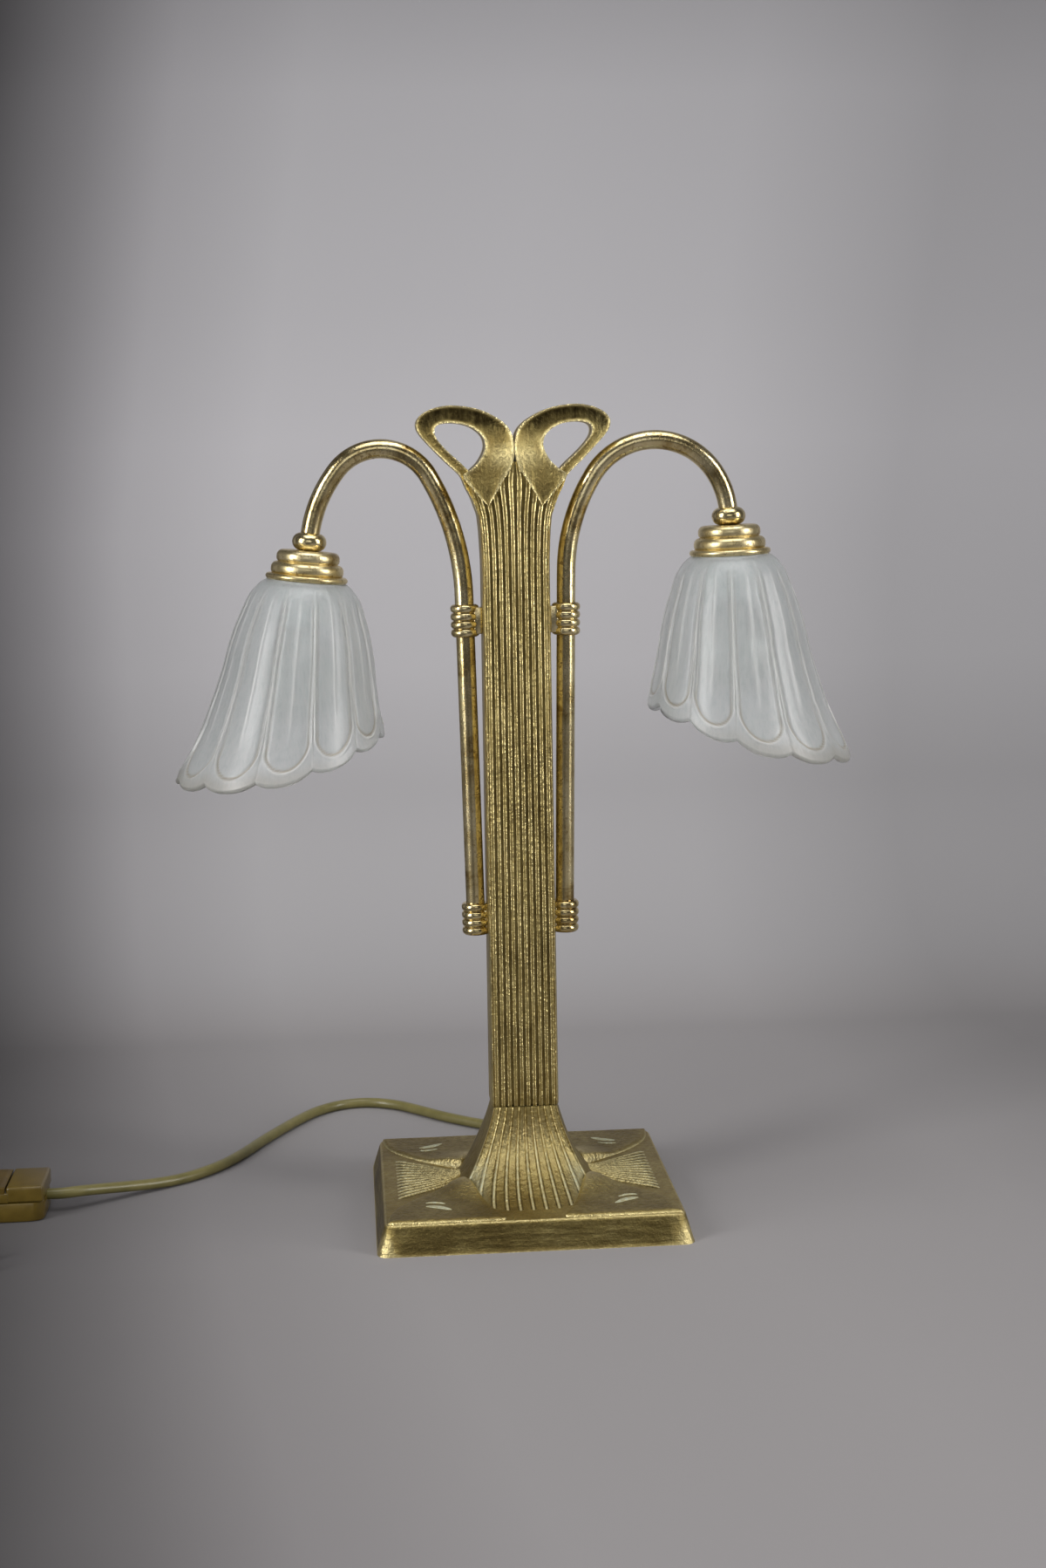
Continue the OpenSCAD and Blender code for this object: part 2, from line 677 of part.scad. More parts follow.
// A ribbed collar round tube i at height z. Its flat lug stands on the column's side.
module collar(i, z, blind) {
    color(polished) mirrored(i) difference() {
        union() {
            translate([tube_axis_x(z), 0, z]) rotate([0, tube_lean, 0]) rotate_extrude() {
                translate([0, -collar_len / 2 + rib_r * 0.5])
                    square([collar_d / 2 - rib_r, collar_len - rib_r]);
                for (k = [0 : collar_ribs - 1])
                    translate([collar_d / 2 - rib_r, (2 * k + 1) * rib_r - collar_len / 2]) circle(rib_r, $fn = 32);
            }
            translate([column_w / 2, -lug_w / 2, z - lug_h / 2])
                cube([tube_axis_x(z) - column_w / 2, lug_w, lug_h]);
        }
        translate([0, 0, z]) cube([column_w, column_d, 2 * collar_len], center = true);
        translate([tube_axis_x(z), 0, z]) rotate([0, tube_lean, 0])
            translate([0, 0, blind ? tube_foot_z - z - slip : -collar_len])
            cylinder(h = 2 * collar_len, r = tube_d / 2 + slip);
        if (blind) translate([column_w / 2 - 1, 0, z]) rotate([0, 90, 0]) cylinder(h = 6, r = lug_bore_r);
    }
}

module arm_tube(i) {
    run = concat(upright(i, tube_foot_z), bends(i));
    through = [for (k = [0 : len(run) - 1]) run[k] + (k == len(run) - 1 ? [0, 1] : [0, 0])];
    color(polished) difference() {
        at_tube_foot(i) bar(run, tube_d / 2);
        at_tube_foot(i) translate([0, 0, -1]) cylinder(h = 2, r = bore_r);
        at_tube_foot(i) bar(through, bore_r);
        mirrored(i) translate([column_w / 2, 0, low_collar_z]) rotate([0, 90, 0])
            cylinder(h = tube_axis_x(low_collar_z) - column_w / 2, r = lug_bore_r);
    }
}

// The wire: up the rod and the column, through the lug, round the arm to the lampholder.
module wire(i) {
    z0 = sole_top + block_h;
    out = tube_axis_x(low_collar_z + wire_turn_r) - wire_x - 2 * wire_turn_r;
    run = concat([[low_collar_z - wire_turn_r - z0, 0], [wire_turn_r, 90], [out, 0],
                  [wire_turn_r, tube_lean - 90]],
                 upright(i, low_collar_z + wire_turn_r), bends(i), [[holder_floor_s - 1 - seat, 0]]);
    color("#f2efe4") mirrored(i) cord(trace(run, [wire_x, z0], 0), wire_d, 6, [0, 1, 0]);
}

// ---------- fitters and lampholders ----------

module ball(i) {
    bow = pow(ball_h / 2, 2) / 2 / (i == LEFT ? left_drop_r : right_drop_r);    // the tube's bend inside the ball
    color(polished) at_ball(i) rotate_extrude() difference() {
        union() {
            translate([ball_d / 2 - ball_h / 2, 0]) circle(ball_h / 2);
            translate([0, -ball_h / 2]) square([ball_d / 2 - ball_h / 2, ball_h]);
        }
        translate([-ball_h, -ball_h]) square([ball_h + tube_d / 2 + slip + bow, 2 * ball_h]);
    }
}

module nipple(i) {
    color("#c9a95a") at_ball(i) difference() {
        translate([0, 0, slip]) cylinder(h = nipple_end_s - slip, r = nipple_d / 2);
        cylinder(h = nipple_end_s + 1, r = rod_bore / 2);
    }
}

// The fitter's stepped outline, shrunk by t for its inside.
module steps(t) {
    r = step_h / 2 - t;
    for (k = [0, 1]) {
        radius = (k == 0 ? fitter_d1 : fitter_d2) / 2 - t;
        top = fitter_s + k * step_h + t;
        translate([0, top + r]) square([radius, rim_s - top - r]);
        translate([0, top]) square([radius - r, r + eps]);
        translate([radius - r, top + r]) circle(r);
    }
    translate([0, rim_s - rim_h + t]) square([fitter_d3 / 2 - rim_h / 2 - t, rim_h - t]);
    intersection() {
        translate([fitter_d3 / 2 - rim_h / 2 - t, rim_s - rim_h / 2]) circle(rim_h / 2);
        translate([0, rim_s - rim_h + t]) square([fitter_d3, rim_h - t]);
    }
}

module fitter(i) {
    color(polished) at_ball(i) difference() {
        rotate_extrude() steps(0);
        rotate_extrude() intersection() {
            steps(fitter_wall);
            square([fitter_d3, rim_s]);
        }
        translate([0, 0, rim_s - rim_h / 2]) cylinder(h = rim_h, r = fitter_d3 / 2 - fitter_wall);
        translate([0, 0, fitter_s - 1]) cylinder(h = 3, r = nipple_d / 2 + slip);
    }
}

module locknut(i) {
    color("#c9a95a") at_ball(i) translate([0, 0, locknut_s]) difference() {
        cylinder(h = locknut_h, d = 14 / cos(30), $fn = 6);
        translate([0, 0, -1]) cylinder(h = locknut_h + 2, r = nipple_d / 2 + slip);
    }
}

module holder_cap(i) {
    shoulder = 5;
    color("#ece9df") at_ball(i) difference() {
        union() {
            translate([0, 0, holder_s]) cylinder(h = shoulder, r1 = 8, r2 = holder_d / 2);
            translate([0, 0, holder_s + shoulder]) cylinder(h = holder_cap_h - shoulder, r = holder_d / 2);
            translate([0, 0, holder_floor_s]) cylinder(h = 6.5, r = holder_d / 2 - 3 - slip);
        }
        translate([0, 0, holder_s - 1]) cylinder(h = nipple_end_s - holder_s + 1 + seat, r = nipple_d / 2 + slip);
        translate([0, 0, nipple_end_s]) cylinder(h = holder_floor_s - nipple_end_s - 1, r = holder_d / 2 - 3);
        translate([0, 0, holder_floor_s + 2.5 - slip]) cylinder(h = 5, r = shell_r + shell_wall + slip);
    }
}

module holder_skirt(i) {
    color("#ece9df") at_ball(i) difference() {
        union() {
            translate([0, 0, holder_split_s + slip]) cylinder(h = 12, r = holder_d / 2);
            translate([0, 0, holder_split_s + 12]) cylinder(h = holder_end_s - holder_split_s - 12, r = holder_d / 2 - 1.5);
        }
        translate([0, 0, holder_split_s - 1]) cylinder(h = holder_h, r = holder_d / 2 - 3);
    }
}

module screw_shell(i) {
    color("#c9a95a") at_ball(i) difference() {
        translate([0, 0, shell_s]) cylinder(h = 17, r = shell_r + shell_wall);
        translate([0, 0, shell_s + shell_wall]) cylinder(h = 17, r = shell_r);
    }
}

module shade_ring(i) {
    color("#ece9df") at_ball(i) difference() {
        union() {
            translate([0, 0, ring_s]) cylinder(h = 2, r = shade_ring_d / 2);
            translate([0, 0, ring_s]) cylinder(h = ring_h, r = shade_ring_d / 2 - 2);
        }
        translate([0, 0, ring_s - 1]) cylinder(h = ring_h + 2, r = holder_d / 2 + slip);
    }
}

module bulb_cap(i) {
    color("#b9bbb8") at_ball(i) {
        translate([0, 0, cap_s]) cylinder(h = 3, r1 = 3, r2 = cap_d / 2);
        translate([0, 0, cap_s + 3]) cylinder(h = cap_h - 3, r = cap_d / 2);
    }
}

module bulb_glass(i) {
    neck_s = cap_s + cap_h;
    color([0.95, 0.95, 0.92, 0.9]) at_ball(i) difference() {
        union() {
            translate([0, 0, globe_s]) sphere(globe_d / 2);
            translate([0, 0, neck_s]) cylinder(h = globe_s - neck_s, r1 = bulb_neck_r - 1, r2 = globe_d / 2 - 2);
        }
        translate([0, 0, globe_s]) sphere(globe_d / 2 - globe_wall);
        translate([0, 0, neck_s + 1.5])
            cylinder(h = globe_s - neck_s - 1.5, r1 = bulb_neck_r - 1.8, r2 = globe_d / 2 - 3);
    }
}

// ---------- glass shades ----------

// How far down the rim reaches at angle a, where petal share u runs from notch to notch.
function rim_at(a, u) = mid_s + mouth_slant * cos(a) - petal_notch * pow(abs(2 * u - 1), 2.4);
function tulip_r(s) = shoulder_r + (mouth_r - shoulder_r)
    * lookup((s - shoulder_s) / (mid_s + mouth_slant - shoulder_s), flare);
// Relief across a petal: a raised line at its edges and a faint one along its middle.
function relief(u) = let (e = min(u, 1 - u))
    e < 0.05 ? petal_line : e > 0.45 ? petal_line * 0.25 : -petal_line * 0.2;

// The shade's wall at angle a, as a closed section of [radius, level] points.
function tulip_section(a, u) =
    let (rim = rim_at(a, u),
         body = [for (f = body_shares) let (s = mix(shoulder_s, rim, f)) [tulip_r(s), s]],
         outer = concat([[glass_hole_r, glass_top_s], [fitter_d2 / 2 - 0.8, glass_top_s + 0.1],
                         [fitter_d3 / 2 - fitter_wall - 0.6, rim_s - 0.2], [fitter_d3 / 2 + 0.3, rim_s + 0.6],
                         [mix(fitter_d3 / 2, shoulder_r, 0.62), rim_s + 3.4]], body),
         n = len(outer),
         out = [for (k = [0 : n - 1])
             let (t = unit(outer[min(k + 1, n - 1)] - outer[max(k - 1, 0)])) [t[1], -t[0]]],
         inner = [for (k = [n - 1 : -2 : 4]) outer[k] - glass_wall * out[k]],
         lip = (outer[n - 1] + inner[0]) / 2 + glass_wall * 0.35 * [-out[n - 1][1], out[n - 1][0]])
    concat([for (k = [0 : n - 1]) outer[k] + relief(u) * ease((k - 2) / 4) * out[k]], [lip], inner,
           [for (r = [shade_ring_d / 2 + 0.1, glass_hole_r]) [r, glass_top_s + glass_wall]]);

module shade(i) {
    color([0.82, 0.85, 0.82, 0.75]) at_ball(i) rotate([0, 0, shade_turn[i] * (i == LEFT ? -1 : 1)])
        skin([for (k = [0 : petals - 1]) for (u = petal_steps)
            let (a = 360 * (k + u - 0.5) / petals)
            [for (q = tulip_section(a, u)) [-q[0] * cos(a), q[0] * sin(a), q[1]]]], wrap = true);
}

// ---------- cord, switch and plug ----------

module cord_bushing() {
    color("#3a3326") difference() {
        union() {
            translate([0, foot_d / 2 - 8, wall_exit_z]) rotate([-90, 0, 0])
                cylinder(h = relief_end_y - foot_d / 2 + 8 - relief_len, r = bushing_r);
            difference() {
                translate([0, foot_d / 2 - 6, wall_exit_z]) rotate([-90, 0, 0])
                    cylinder(h = relief_end_y - foot_d / 2 + 6 - relief_len, r = bushing_flange_r);
                plinth();
            }
            translate([0, relief_end_y - relief_len, wall_exit_z]) rotate([-90, 0, 0])
                cylinder(h = relief_len, r1 = bushing_flange_r - 0.4, r2 = cord_d / 2 + 0.7);
        }
        translate([0, foot_d / 2 - 9, wall_exit_z]) rotate([-90, 0, 0])
            cylinder(h = relief_end_y, r = cord_d / 2 + slip);
    }
}

module inner_cord() {
    y0 = block_d / 2;
    color(cord_pvc) translate([0, y0, wall_exit_z]) rotate([-90, 0, 0])
        cylinder(h = relief_end_y - y0, r = cord_d / 2);
}

module lamp_cord() {
    color(cord_pvc) cord(lamp_route, cord_d, 10);
}

module cord_lead() {
    color(cord_pvc) cord(lead_route, cord_d, 10);
}

module cord_tail() {
    color(cord_pvc) cord(tail_route, cord_d, 10);
}

// The coil's centre line: it winds in, climbs a layer while it turns back, and winds out again.
coil_pitch = cord_d + coil_gap;
coil_low = cord_d / 2 + 0.1;
function coil_point(t) =
    let (half = coil_turns / 2, r = coil_r - coil_pitch * min(t, coil_turns - t),
         a = 90 + 360 * t, z = coil_low + coil_pitch * ease((t - half) * 2 + 0.5))
    [coil_centre[0] + r * cos(a), coil_centre[1] + r * sin(a), z];
coil_steps = 24;
coil_line = let (n = coil_steps * coil_turns, first = coil_point(0), final = coil_point(coil_turns))
    concat([[-372, 18, coil_low]], [for (k = [0 : n]) coil_point(k / coil_steps)],
           [[-372, -66, coil_low + coil_pitch]]);
coil_self_gap = min([for (i = [1 : 3 : len(coil_line) - 12]) for (k = [i + 10 : len(coil_line) - 1])
    norm(coil_line[i] - coil_line[k])]) - cord_d;

module cord_coil() {
    echo(coil_self_gap = coil_self_gap, coil_length = reach(coil_line),
         cord_length = reach(lamp_route) + reach(lead_route) + reach(coil_line) + reach(tail_route));
    color(cord_pvc) cord(coil_line, cord_d, 6);
}

module at_switch() {
    translate(switch_pos) children();
}

module switch_body(inset, z0, z1) {
    translate([0, 0, z0]) round_box(switch_l - 2 * inset, switch_w - 2 * inset, z1 - z0, switch_corner - inset);
}

// The posts inside the switch that its two screws join.
module at_switch_posts() {
    for (x = [-1, 1]) translate([x * (switch_l / 2 - 8.5), switch_w / 2 - switch_wall - post_r + 0.6, 0]) children();
}

module cord_channel() {
    translate([-switch_l, 0, switch_h / 2]) rotate([0, 90, 0]) cylinder(h = 2 * switch_l, r = cord_d / 2 + slip);
}

module switch_base() {
    color(gold_plastic) at_switch() difference() {
        union() {
            difference() {
                switch_body(0, 0, switch_split - slip);
                switch_body(switch_wall, switch_wall, switch_split);
            }
            at_switch_posts() cylinder(h = switch_split - slip, r = post_r);
        }
        cord_channel();
        at_switch_posts() {
            translate([0, 0, -eps]) cylinder(h = post_head + 2, r = post_head_r + slip);
            cylinder(h = switch_h, r = post_screw_r + slip);
        }
    }
}

module switch_cover() {
    well_l = rocker_l / 2 + rocker_end_gap;
    color(gold_plastic) at_switch() difference() {
        union() {
            difference() {
                switch_body(0, switch_split, switch_h);
                switch_body(switch_wall, switch_split - 1, switch_h - saddle - switch_wall);
            }
            at_switch_posts() translate([0, 0, switch_split])
                cylinder(h = switch_h - saddle - switch_split, r = post_r);
        }
        at_switch_posts() translate([0, 0, switch_split - 1])
            cylinder(h = switch_h - saddle - switch_split, r = post_screw_r + slip);
        translate([-well_l, -switch_w, switch_h - saddle]) cube([2 * well_l, 2 * switch_w, saddle + 1]);
        translate([-well_l, -rocker_core_w / 2 - seat, switch_split - 1])
            cube([2 * well_l, rocker_core_w + 2 * seat, switch_h]);
        cord_channel();
        translate([0, -switch_w, switch_h - rocker_pivot]) rotate([-90, 0, 0])
            cylinder(h = 2 * switch_w, r = rocker_pin_d / 2 + slip);
    }
}

// The rocker lies with its lamp-side end pressed, and turns back about its pin.
module switch_rocker() {
    rise = rocker_l / 2 * tan(rocker_throw / 2);
    color("#8d6415") at_switch() translate([0, 0, switch_h - rocker_pivot])
        rotate([0, rocker_throw / 2, 0]) difference() {
            rotate([90, 0, 0]) union() {
                linear_extrude(switch_w, center = true) translate([0, rocker_pivot]) polygon([
                    [-rocker_l / 2, rise], [0, 0], [rocker_l / 2, rise], [rocker_l / 2, -saddle + 0.2 + rise],
                    [0, -saddle + seat], [-rocker_l / 2, -saddle + 0.2 + rise]]);
                linear_extrude(rocker_core_w - 2 * seat, center = true) union() {
                    circle(3.2);
                    translate([-5, 0]) square([10, rocker_pivot - 1]);
                }
            }
            rotate([90, 0, 0]) cylinder(h = 2 * switch_w, r = rocker_pin_d / 2 + slip, center = true);
        }
}

module rocker_pin() {
    color("#8f8f8f") at_switch() translate([0, 0, switch_h - rocker_pivot]) rotate([90, 0, 0])
        cylinder(h = switch_w - 1, r = rocker_pin_d / 2, center = true);
}

module switch_screws() {
    color("#8f8f8f") at_switch() at_switch_posts() {
        translate([0, 0, post_head]) cylinder(h = 2 - eps, r = post_head_r);
        translate([0, 0, post_head]) cylinder(h = switch_split + 3 - post_head, r = post_screw_r);
    }
}

module plug_body() {
    rear = plug_face_x - plug_l;
    color(gold_plastic) difference() {
        translate([0, plug_y, 0]) hull() {
            translate([plug_face_x - 9, 0, plug_t / 2]) rotate([0, 90, 0])
                linear_extrude(9) rounded(plug_t, plug_w, 5, $fn = 32);
            translate([rear, 0, plug_axis_z]) rotate([0, 90, 0]) cylinder(h = 6, r = cord_d / 2 + 1.6, $fn = 32);
        }
        for (y = [-1, 1]) translate([plug_face_x - plug_hole, plug_y + y * plug_pin_gap / 2, plug_axis_z])
            rotate([0, 90, 0]) cylinder(h = plug_hole + 1, r = plug_pin_d / 2 + slip);
    }
}

module plug_pins() {
    color("#c8c8c0") for (y = [-1, 1]) translate([plug_face_x - plug_hole, plug_y + y * plug_pin_gap / 2, plug_axis_z])
        rotate([0, 90, 0]) cylinder(h = plug_hole + plug_pin_l, r = plug_pin_d / 2);
}

// ---------- assembly ----------

foot();
sole_plate();
sole_screws();
felt_pad();
column();
tie_rod();
tie_washer();
tie_nut();
collar(LEFT, low_collar_z, true);  // left_lower_collar
collar(LEFT, high_collar_z, false);  // left_upper_collar
collar(RIGHT, low_collar_z, true);  // right_lower_collar
collar(RIGHT, high_collar_z, false);  // right_upper_collar
arm_tube(LEFT);  // left_arm_tube
arm_tube(RIGHT);  // right_arm_tube
ball(LEFT);  // left_ball
ball(RIGHT);  // right_ball
nipple(LEFT);  // left_nipple
nipple(RIGHT);  // right_nipple
fitter(LEFT);  // left_fitter
fitter(RIGHT);  // right_fitter
locknut(LEFT);  // left_locknut
locknut(RIGHT);  // right_locknut
holder_cap(LEFT);  // left_holder_cap
holder_cap(RIGHT);  // right_holder_cap
holder_skirt(LEFT);  // left_holder_skirt
holder_skirt(RIGHT);  // right_holder_skirt
screw_shell(LEFT);  // left_screw_shell
screw_shell(RIGHT);  // right_screw_shell
shade_ring(LEFT);  // left_shade_ring
shade_ring(RIGHT);  // right_shade_ring
shade(LEFT);  // left_shade
shade(RIGHT);  // right_shade
bulb_glass(LEFT);  // left_bulb_glass
bulb_glass(RIGHT);  // right_bulb_glass
bulb_cap(LEFT);  // left_bulb_cap
bulb_cap(RIGHT);  // right_bulb_cap
wire(LEFT);  // left_wire
wire(RIGHT);  // right_wire
terminal_block();
cord_bushing();
inner_cord();
lamp_cord();
switch_base();
switch_cover();
switch_rocker();
rocker_pin();
switch_screws();
cord_lead();
cord_coil();
cord_tail();
plug_body();
plug_pins();
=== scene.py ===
from math import copysign, cos, floor, hypot, pi, radians, sin, sqrt, tan

import bmesh
import bpy
from bmesh import ops
from mathutils import Matrix, Vector


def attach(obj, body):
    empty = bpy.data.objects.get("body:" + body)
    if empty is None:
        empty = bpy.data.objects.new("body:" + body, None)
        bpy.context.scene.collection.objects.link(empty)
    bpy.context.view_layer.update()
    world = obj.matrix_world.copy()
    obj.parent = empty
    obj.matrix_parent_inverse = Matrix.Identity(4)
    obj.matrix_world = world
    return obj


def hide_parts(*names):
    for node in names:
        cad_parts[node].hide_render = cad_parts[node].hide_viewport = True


MM = 0.001
TAU = 2 * pi
WELD = 1e-6 / MM  # points closer than this become one, in mm

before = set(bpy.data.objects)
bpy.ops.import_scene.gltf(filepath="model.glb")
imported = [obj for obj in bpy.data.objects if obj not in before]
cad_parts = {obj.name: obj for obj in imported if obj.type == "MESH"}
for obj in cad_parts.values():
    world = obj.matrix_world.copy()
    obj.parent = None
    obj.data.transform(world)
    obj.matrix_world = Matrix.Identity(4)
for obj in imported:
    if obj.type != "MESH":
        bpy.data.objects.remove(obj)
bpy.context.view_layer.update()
SCENE = bpy.context.scene


def placed(name, data):
    made = bpy.data.objects.new(name, data)
    SCENE.collection.objects.link(made)
    return made


# -------- camera

def set_camera():
    data = bpy.data.cameras.new("camera")
    data.lens = 49.757
    data.sensor_width = 36
    data.clip_end = 50
    cam = placed("camera", data)
    look = Vector((0.07962, 0.98659, -0.14247))
    right = Vector((0.99644, -0.08277, -0.0163))
    up = right.cross(look).normalized()
    turn = Matrix((right, up, -look)).transposed().to_4x4()
    cam.matrix_world = Matrix.Translation((-0.0897, -1.14323, 0.39705)) @ turn
    SCENE.camera = cam


# -------- shapes

def marks(bm):
    """The two values each point can carry: brightening by wear and painted highlights (below 0,
    darkening, mostly painted shade), and stained.
    """
    layers = bm.verts.layers.float
    for name in ("wear_and_painted_light", "stain"):
        if layers.get(name) is None:
            layers.new(name)
    return layers["wear_and_painted_light"], layers["stain"]


def eased(t):
    t = min(max(t, 0.0), 1.0)
    return t * t * (3 - 2 * t)


def mixed(a, b, t):
    return a + (b - a) * t


def through(points, steps):
    """A smooth line through given points, as tuples of any width."""
    line = []
    last = len(points) - 1
    for i in range(last):
        a, b, c, d = (points[max(i - 1, 0)], points[i], points[i + 1], points[min(i + 2, last)])
        for k in range(steps):
            t = k / steps
            line.append(tuple(
                q + 0.5 * t * (r - p) + t * t * (p - 2.5 * q + 2 * r - 0.5 * s)
                + 0.5 * t ** 3 * (3 * q - p - 3 * r + s)
                for p, q, r, s in zip(a, b, c, d)))
    line.append(tuple(points[-1]))
    return line


def looked_up(table, x):
    """The value at x between the rows of a short table of (x, value)."""
    if x <= table[0][0]:
        return table[0][1]
    for (x0, y0), (x1, y1) in zip(table, table[1:]):
        if x <= x1:
            return mixed(y0, y1, (x - x0) / (x1 - x0))
    return table[-1][1]


def smooth_object(name, bm, finish):
    mesh = bpy.data.meshes.new(name)
    bm.to_mesh(mesh)
    bm.free()
    for face in mesh.polygons:
        face.use_smooth = True
    mesh.materials.append(finish)
    return placed(name, mesh)


def finished(name, bm, finish, nodes, body="lamp", sharp=35):
    """Turns a bmesh in millimetres into a piece that takes the place of its CAD nodes."""
    ops.remove_doubles(bm, verts=bm.verts, dist=WELD)
    ops.delete(bm, geom=[e for e in bm.edges if not e.link_faces], context="EDGES")
    ops.recalc_face_normals(bm, faces=bm.faces)
    ops.scale(bm, vec=(MM, MM, MM), verts=bm.verts)
    piece = smooth_object(name, bm, finish)
    piece.data.set_sharp_from_angle(angle=radians(sharp))
    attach(piece, body)
    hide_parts(*nodes.split())
    return piece


def pulled_sheet(bm, across, along, place, close=1e-4):
    """A grid pulled to place(u, v), which gives a point, its wear and painted light and, if any,
    its stain.
    """
    wear_and_painted_light, stain = marks(bm)
    made = ops.create_grid(bm, x_segments=across, y_segments=along, size=1.0)["verts"]
    for vert in made:
        got = place((vert.co.x + 1) / 2, (vert.co.y + 1) / 2)
        vert.co, vert[wear_and_painted_light], vert[stain] = (*got, 0.0)[:3]
    ops.remove_doubles(bm, verts=made, dist=close)
    return [v for v in made if v.is_valid]


def closed_ends(bm, verts):
    """Fills the open rims that these points lie on."""
    rims = {e for v in verts for e in v.link_edges if e.is_boundary}
    ops.holes_fill(bm, edges=list(rims), sides=0)


def backed(bm, verts, level):
    """Carries a sheet's rim straight down to the level and closes it there."""
    rims = list({e for v in verts for e in v.link_edges if e.is_boundary})
    made = ops.extrude_edge_only(bm, edges=rims)["geom"]
    for item in made:
        if isinstance(item, bmesh.types.BMVert):
            item.co.z = level
    edges = [e for e in made if isinstance(e, bmesh.types.BMEdge)]
    ops.holes_fill(bm, edges=edges, sides=0)


def swept_tube(bm, path, radius, sides):
    """A round tube along path, whose frame is carried along without twist."""
    points = [Vector(p) for p in path]
    ahead = [(points[min(i + 1, len(points) - 1)] - points[max(i - 1, 0)]).normalized()
             for i in range(len(points))]
    side = ahead[0].cross(Vector((0, 0, 1)))
    if side.length < 0.1:
        side = Vector((0, 1, 0))
    frames = []
    for t in ahead:
        side = (side - t * side.dot(t)).normalized()
        frames.append((side, t.cross(side)))
    last = len(points) - 1

    def place(u, v):
        i = round(v * last)
        a = TAU * u
        side, up = frames[i]
        return points[i] + radius * (cos(a) * side + sin(a) * up), 0.0

    closed_ends(bm, pulled_sheet(bm, sides, last, place))


def filleted(profile, steps=4):
    """A profile of (r, s, fillet) with its corners rounded."""
    line = []
    count = len(profile)
    for i, (r, s, fillet) in enumerate(profile):
        here = Vector((r, s))
        if fillet <= 0 or i in (0, count - 1):
            line.append(here)
            continue
        back = Vector(profile[i - 1][:2]) - here
        on = Vector(profile[i + 1][:2]) - here
        cut = min(fillet, back.length * 0.49, on.length * 0.49)
        a, b = here + back.normalized() * cut, here + on.normalized() * cut
        for k in range(steps + 1):
            t = k / steps
            line.append(a * (1 - t) ** 2 + here * 2 * t * (1 - t) + b * t * t)
    return line


def turned(bm, profile, where, steps, loop=False):
    """Spins a profile of (r, s) round the local Z axis and sets it in its place."""
    verts = [bm.verts.new((p[0], 0, p[1])) for p in profile]
    edges = [bm.edges.new(pair) for pair in zip(verts, verts[1:])]
    if loop:
        edges.append(bm.edges.new((verts[-1], verts[0])))
    before = set(bm.verts) - set(verts)
    ops.spin(bm, geom=verts + edges, cent=(0, 0, 0), axis=(0, 0, 1), dvec=(0, 0, 0),
                   angle=TAU, steps=steps, use_merge=True)
    new = [v for v in bm.verts if v not in before]
    ops.remove_doubles(bm, verts=new, dist=1e-4)
    new = [v for v in bm.verts if v not in before]
    ops.transform(bm, matrix=where, verts=new)


def block(bm, low, high, round_off, segments):
    """A box between two corners with rounded edges."""
    made = ops.create_cube(bm, size=1.0)["verts"]
    low, high = Vector(low), Vector(high)
    for v in made:
        v.co = Vector(((low[k] + high[k]) / 2 + v.co[k] * (high[k] - low[k]) for k in range(3)))
    edges = {e for v in made for e in v.link_edges}
    ops.bevel(bm, geom=list(edges), offset=round_off, segments=segments, profile=0.5,
                    affect="EDGES", material=-1)


def signed_power(value, power):
    """A power that keeps the sign; below 1 it squares a circle off."""
    return copysign(abs(value) ** power, value)


# -------- finishes

def add(tree, kind, inputs=None, **settings):
    """A node with its settings, and inputs given as values or as sockets to link."""
    node = tree.nodes.new("ShaderNode" + kind)
    for key, value in settings.items():
        setattr(node, key, value)
    for key, value in (inputs or {}).items():
        if isinstance(value, bpy.types.NodeSocket):
            tree.links.new(value, node.inputs[key])
        else:
            node.inputs[key].default_value = value
    return node


def driven(kind, inputs, **settings):
    """A node in the tree of the sockets that drive it."""
    tree = next(v.id_data for v in inputs.values() if isinstance(v, bpy.types.NodeSocket))
    return add(tree, kind, inputs, **settings)


def worked(kind, *values):
    """What a Math node of that kind makes of the values."""
    return driven("Math", dict(enumerate(values)), operation=kind).outputs[0]


def times(a, b):
    return worked("MULTIPLY", a, b)


def scaled(value, by, plus):
    return worked("MULTIPLY_ADD", value, by, plus)


def held(value):
    """The value kept between 0 and 1."""
    return driven("Clamp", {"Value": value}).outputs[0]


def blended(share, a, b, how="MIX"):
    return driven("Mix", {0: share, 6: a, 7: b}, data_type="RGBA",
               blend_type=how).outputs[2]


def graded(value, stops):
    """A colour ramp with stops of (position, colour)."""
    node = driven("ValToRGB", {"Fac": value})
    ramp = node.color_ramp.elements
    while len(ramp) < len(stops):
        ramp.new(0.5)
    for stop, (at, colour) in zip(ramp, stops):
        stop.position = at
        stop.color = (*colour, 1)
    return node.outputs["Color"]


def grain(where, scale, detail=4.0, roughness=0.55, distortion=0.0):
    return driven("TexNoise", {
        "Vector": where, "Scale": scale, "Detail": detail, "Roughness": roughness,
        "Distortion": distortion}).outputs["Fac"]


def stretched(where, scale):
    return driven("Mapping", {"Vector": where, "Scale": scale}).outputs["Vector"]


def painted(surface, name):
    """The value of that name that the mesh's points carry."""
    return add(surface.id_data, "Attribute", attribute_name=name).outputs["Fac"]


def socket(surface, key):
    return surface.inputs[key.replace("_", " ").title().replace("Ior", "IOR")]


def new_finish(name, **values):
    mat = bpy.data.materials.new(name)
    mat.use_nodes = True
    surface = mat.node_tree.nodes["Principled BSDF"]
    for key, value in values.items():
        socket(surface, key).default_value = value
    return mat, surface, add(mat.node_tree, "TexCoord").outputs["Object"]


def wired(surface, **values):
    for key, value in values.items():
        surface.id_data.links.new(value, socket(surface, key))


def dented(surface, height, strength, distance):
    bump = driven("Bump", {"Height": height, "Strength": strength, "Distance": distance})
    wired(surface, normal=bump.outputs["Normal"])


